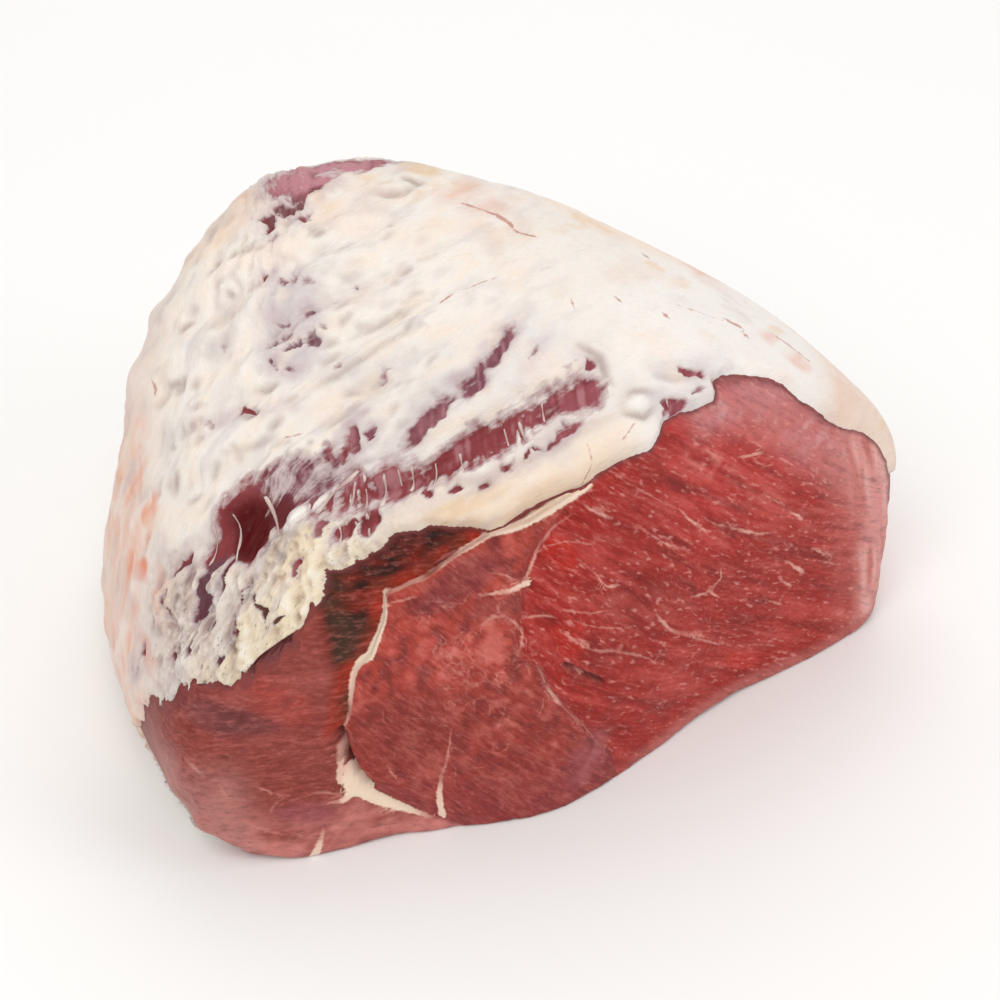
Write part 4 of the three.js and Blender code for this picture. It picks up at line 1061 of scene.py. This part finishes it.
toned = put("Mix", {0: whole, 6: toned, 7: skin_colour}, output=2, data_type="RGBA")
wispy = put("Math", {0: veiled, 1: 0.9, 2: 0.1}, operation="MULTIPLY_ADD")
coarse_here = put("Math", {0: crumb, 1: whole}, operation="MULTIPLY")
for weights, low, high, most, colour, where in (
    ((0.8, 0.2, 0.7), 0.90, 1.25, 0.6, "#F1EAE2", wispy),  # white wisps, faint over the bare muscle
    ((0.9, 0.6, 0.2), 0.76, 0.42, 0.4, "#BDB0AB", veiled),  # grey between them
    ((0.0, 0.8, 1.0), 0.78, 0.60, 0.7, "#7E665C", coarse_here),  # painted shade in the pits between the crumbs
    ((0.0, 0.8, 1.0), 0.96, 1.20, 0.5, "#F0E6D4", coarse_here),  # and their lit tops
):
    toned = laid_over(put, toned, three, weights, low, high, most, colour, where)
scratched = put("Math", {0: line_cover(put, marks, grains, 0.9), 1: 0.7}, operation="MULTIPLY")
toned = put("Mix", {0: scratched, 6: toned, 7: "#B0604E"}, output=2, data_type="RGBA")
height = put("VectorMath", {0: three, 1: (0.9, 0.5, 0.5)}, operation="DOT_PRODUCT", output="Value")
bump = put("Bump", {"Height": height, "Strength": 0.6, "Distance": 0.001})
sheen = put("MapRange", {"Value": veiled, "To Min": 0.12, "To Max": 0.35})  # of fat, not muscle
shader = put("BsdfPrincipled", {
    "Base Color": toned, "Roughness": 0.5, "Specular IOR Level": sheen, "Subsurface Weight": 0.12,
    "Subsurface Radius": (0.006, 0.004, 0.0025), "Subsurface Scale": 0.5, "Normal": bump})
put("OutputMaterial", {"Surface": shader})


def with_inner(values, filling):
    """Values for the outer points, and one filling value for the buried points below them."""
    values = np.asarray(values, float)
    return np.concatenate([values, np.broadcast_to(np.asarray(filling, float), (fill, *values.shape[1:]))])


fat_cap = make_piece("fat_cap", points, np.concatenate(quads), triangles, beef_fat, {
    "film": with_inner(film, 2.0), "skin": with_inner(skin, to_linear("#8E4640")),
    "under": with_inner(under, to_linear("#7B3536")),
    "comb": with_inner(np.stack([comb_u / 4.2, comb_v, point @ TOWARDS * 0.3], -1), 0.0),
    "mark": with_inner(np.stack([mark_off, mark_half, crumbs], -1), (0, NO_LINE, 0))})
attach(fat_cap, "root")
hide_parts("topside")

# ---- Strands: threads of fat that still bridge the sunk strip --------------------------------------
# When the outer skin was pulled off, fine white threads of fat stayed on. They run from the rolled
# rim over the strip's lower bank, and each is a thin closed cord that sinks into the fat at both ends.

STRAND_RINGS, STRAND_SIDES = 12, 6
STRANDS = [  # chart path, half width in mm
    ([(-88.5, 54), (-88, 46), (-88, 38), (-86, 31)], 0.5),
    ([(-79, 55), (-76.5, 47), (-72, 40), (-68, 35)], 0.75), ([(-60, 47), (-54, 55), (-47, 60.5)], 0.8),
    ([(-48, 60), (-48, 52), (-50, 43)], 0.55), ([(-44.5, 60), (-44, 52), (-43, 45)], 0.5),
    ([(-38.5, 62), (-38, 56), (-38, 49)], 0.6), ([(-42, 46), (-41, 40), (-37, 37)], 0.55),
    ([(-34, 63), (-33, 55)], 0.4), ([(-29.5, 64), (-29, 54)], 0.45), ([(-52, 44), (-50, 36)], 0.5),
    ([(-47, 45), (-42, 36)], 0.4), ([(-63, 50), (-61, 43), (-62, 37)], 0.5), ([(-22, 65), (-21, 55)], 0.4),
    ([(-14, 68), (-12, 60)], 0.45), ([(6, 79), (8, 72), (11, 65)], 0.6), ([(1, 77), (3, 69)], 0.4),
    ([(-93, 46), (-95, 36), (-95, 27)], 0.45), ([(53, 83.5), (54.5, 79)], 0.3),
    ([(14, 85), (15, 77)], 0.35),
]
front_fat = np.flatnonzero((seen > 0.3) & (np.abs(e) < 90))
chart = np.stack([a, r], -1)[front_fat]
strand_points, strand_quads, strand_ends, rooted = [], [], [], []
t = np.linspace(0, 1, STRAND_RINGS)
for path, half in STRANDS:
    path = np.array(path, float)
    walked = np.concatenate([[0], np.cumsum(np.hypot(*np.diff(path, axis=0).T))])
    spots = np.stack([np.interp(t * walked[-1], walked, path[:, k]) for k in range(2)], -1)
    nearness = bell(np.linalg.norm(chart[None] - spots[:, None], axis=2), 0.9) + 1e-12
    middle = nearness @ cap_points[front_fat] / nearness.sum(1, keepdims=True)
    lifted = 0.9 * np.sin(np.pi * t) ** 0.6 - 0.8
    for _ in range(2):  # eased, so that a thread is taut over the hollows
        middle[1:-1] = (middle[:-2] + 2 * middle[1:-1] + middle[2:]) / 4
    middle = middle + TOWARDS * lifted[:, None]
    ahead = np.gradient(middle, axis=0)
    ahead /= np.linalg.norm(ahead, axis=1, keepdims=True)
    sideways = np.cross(ahead, TOWARDS)
    sideways /= np.linalg.norm(sideways, axis=1, keepdims=True)
    upward = np.cross(sideways, ahead)
    turn = np.linspace(0, 2 * np.pi, STRAND_SIDES, endpoint=False)
    thick = 1.3 * half * (0.55 + 0.75 * np.abs(2 * t - 1) ** 2) * (0.9 + 0.3 * np.sin(9 * t + half * 40))
    around = np.cos(turn)[:, None] * sideways[:, None] + 0.5 * np.sin(turn)[:, None] * upward[:, None]
    rooted.append(np.concatenate([np.repeat(np.abs(2 * t - 1) ** 1.5, STRAND_SIDES), [1, 1]]))
    first = sum(len(p) for p in strand_points)
    skin_points = (middle[:, None] + thick[:, None, None] * around).reshape(-1, 3)
    strand_points.append(np.concatenate([skin_points, middle[:1], middle[-1:]]))
    number = first + np.arange(STRAND_RINGS * STRAND_SIDES).reshape(STRAND_RINGS, STRAND_SIDES)
    beside = np.roll(number, -1, axis=1)
    strand_quads.append(np.stack([number[:-1], beside[:-1], beside[1:], number[1:]], -1).reshape(-1, 4))
    caps = first + STRAND_RINGS * STRAND_SIDES
    strand_ends.append(np.stack([beside[0], number[0], np.full(STRAND_SIDES, caps)], -1))
    strand_ends.append(np.stack([number[-1], beside[-1], np.full(STRAND_SIDES, caps + 1)], -1))
strand_points = np.concatenate(strand_points)

# Thread of fat: the same waxy fat, plain white, as it has no skin or muscle under it.
thread_of_fat, put = new_material("thread_of_fat")
place = put("TexCoord", output="Object")
uneven = put("TexNoise", {"Vector": place, "Scale": 300, "Detail": 2.0})  # 3 mm
toned = put("Mix", {0: uneven, 6: "#A87F7D", 7: "#CDB1AA"}, output=2, data_type="RGBA")
root = put("Attribute", attribute_name="root", output="Fac")
toned = put("Mix", {0: root, 6: toned, 7: "#E3D5CA"}, output=2, data_type="RGBA")
shader = put("BsdfPrincipled", {
    "Base Color": toned, "Roughness": 0.45, "Specular IOR Level": 0.35, "Subsurface Weight": 0.15,
    "Subsurface Radius": (0.004, 0.003, 0.002), "Subsurface Scale": 0.5})
put("OutputMaterial", {"Surface": shader})
strands = make_piece("strands", strand_points, np.concatenate(strand_quads), np.concatenate(strand_ends),
                     thread_of_fat, {"root": np.concatenate(rooted)})
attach(strands, "root")
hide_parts("topside")
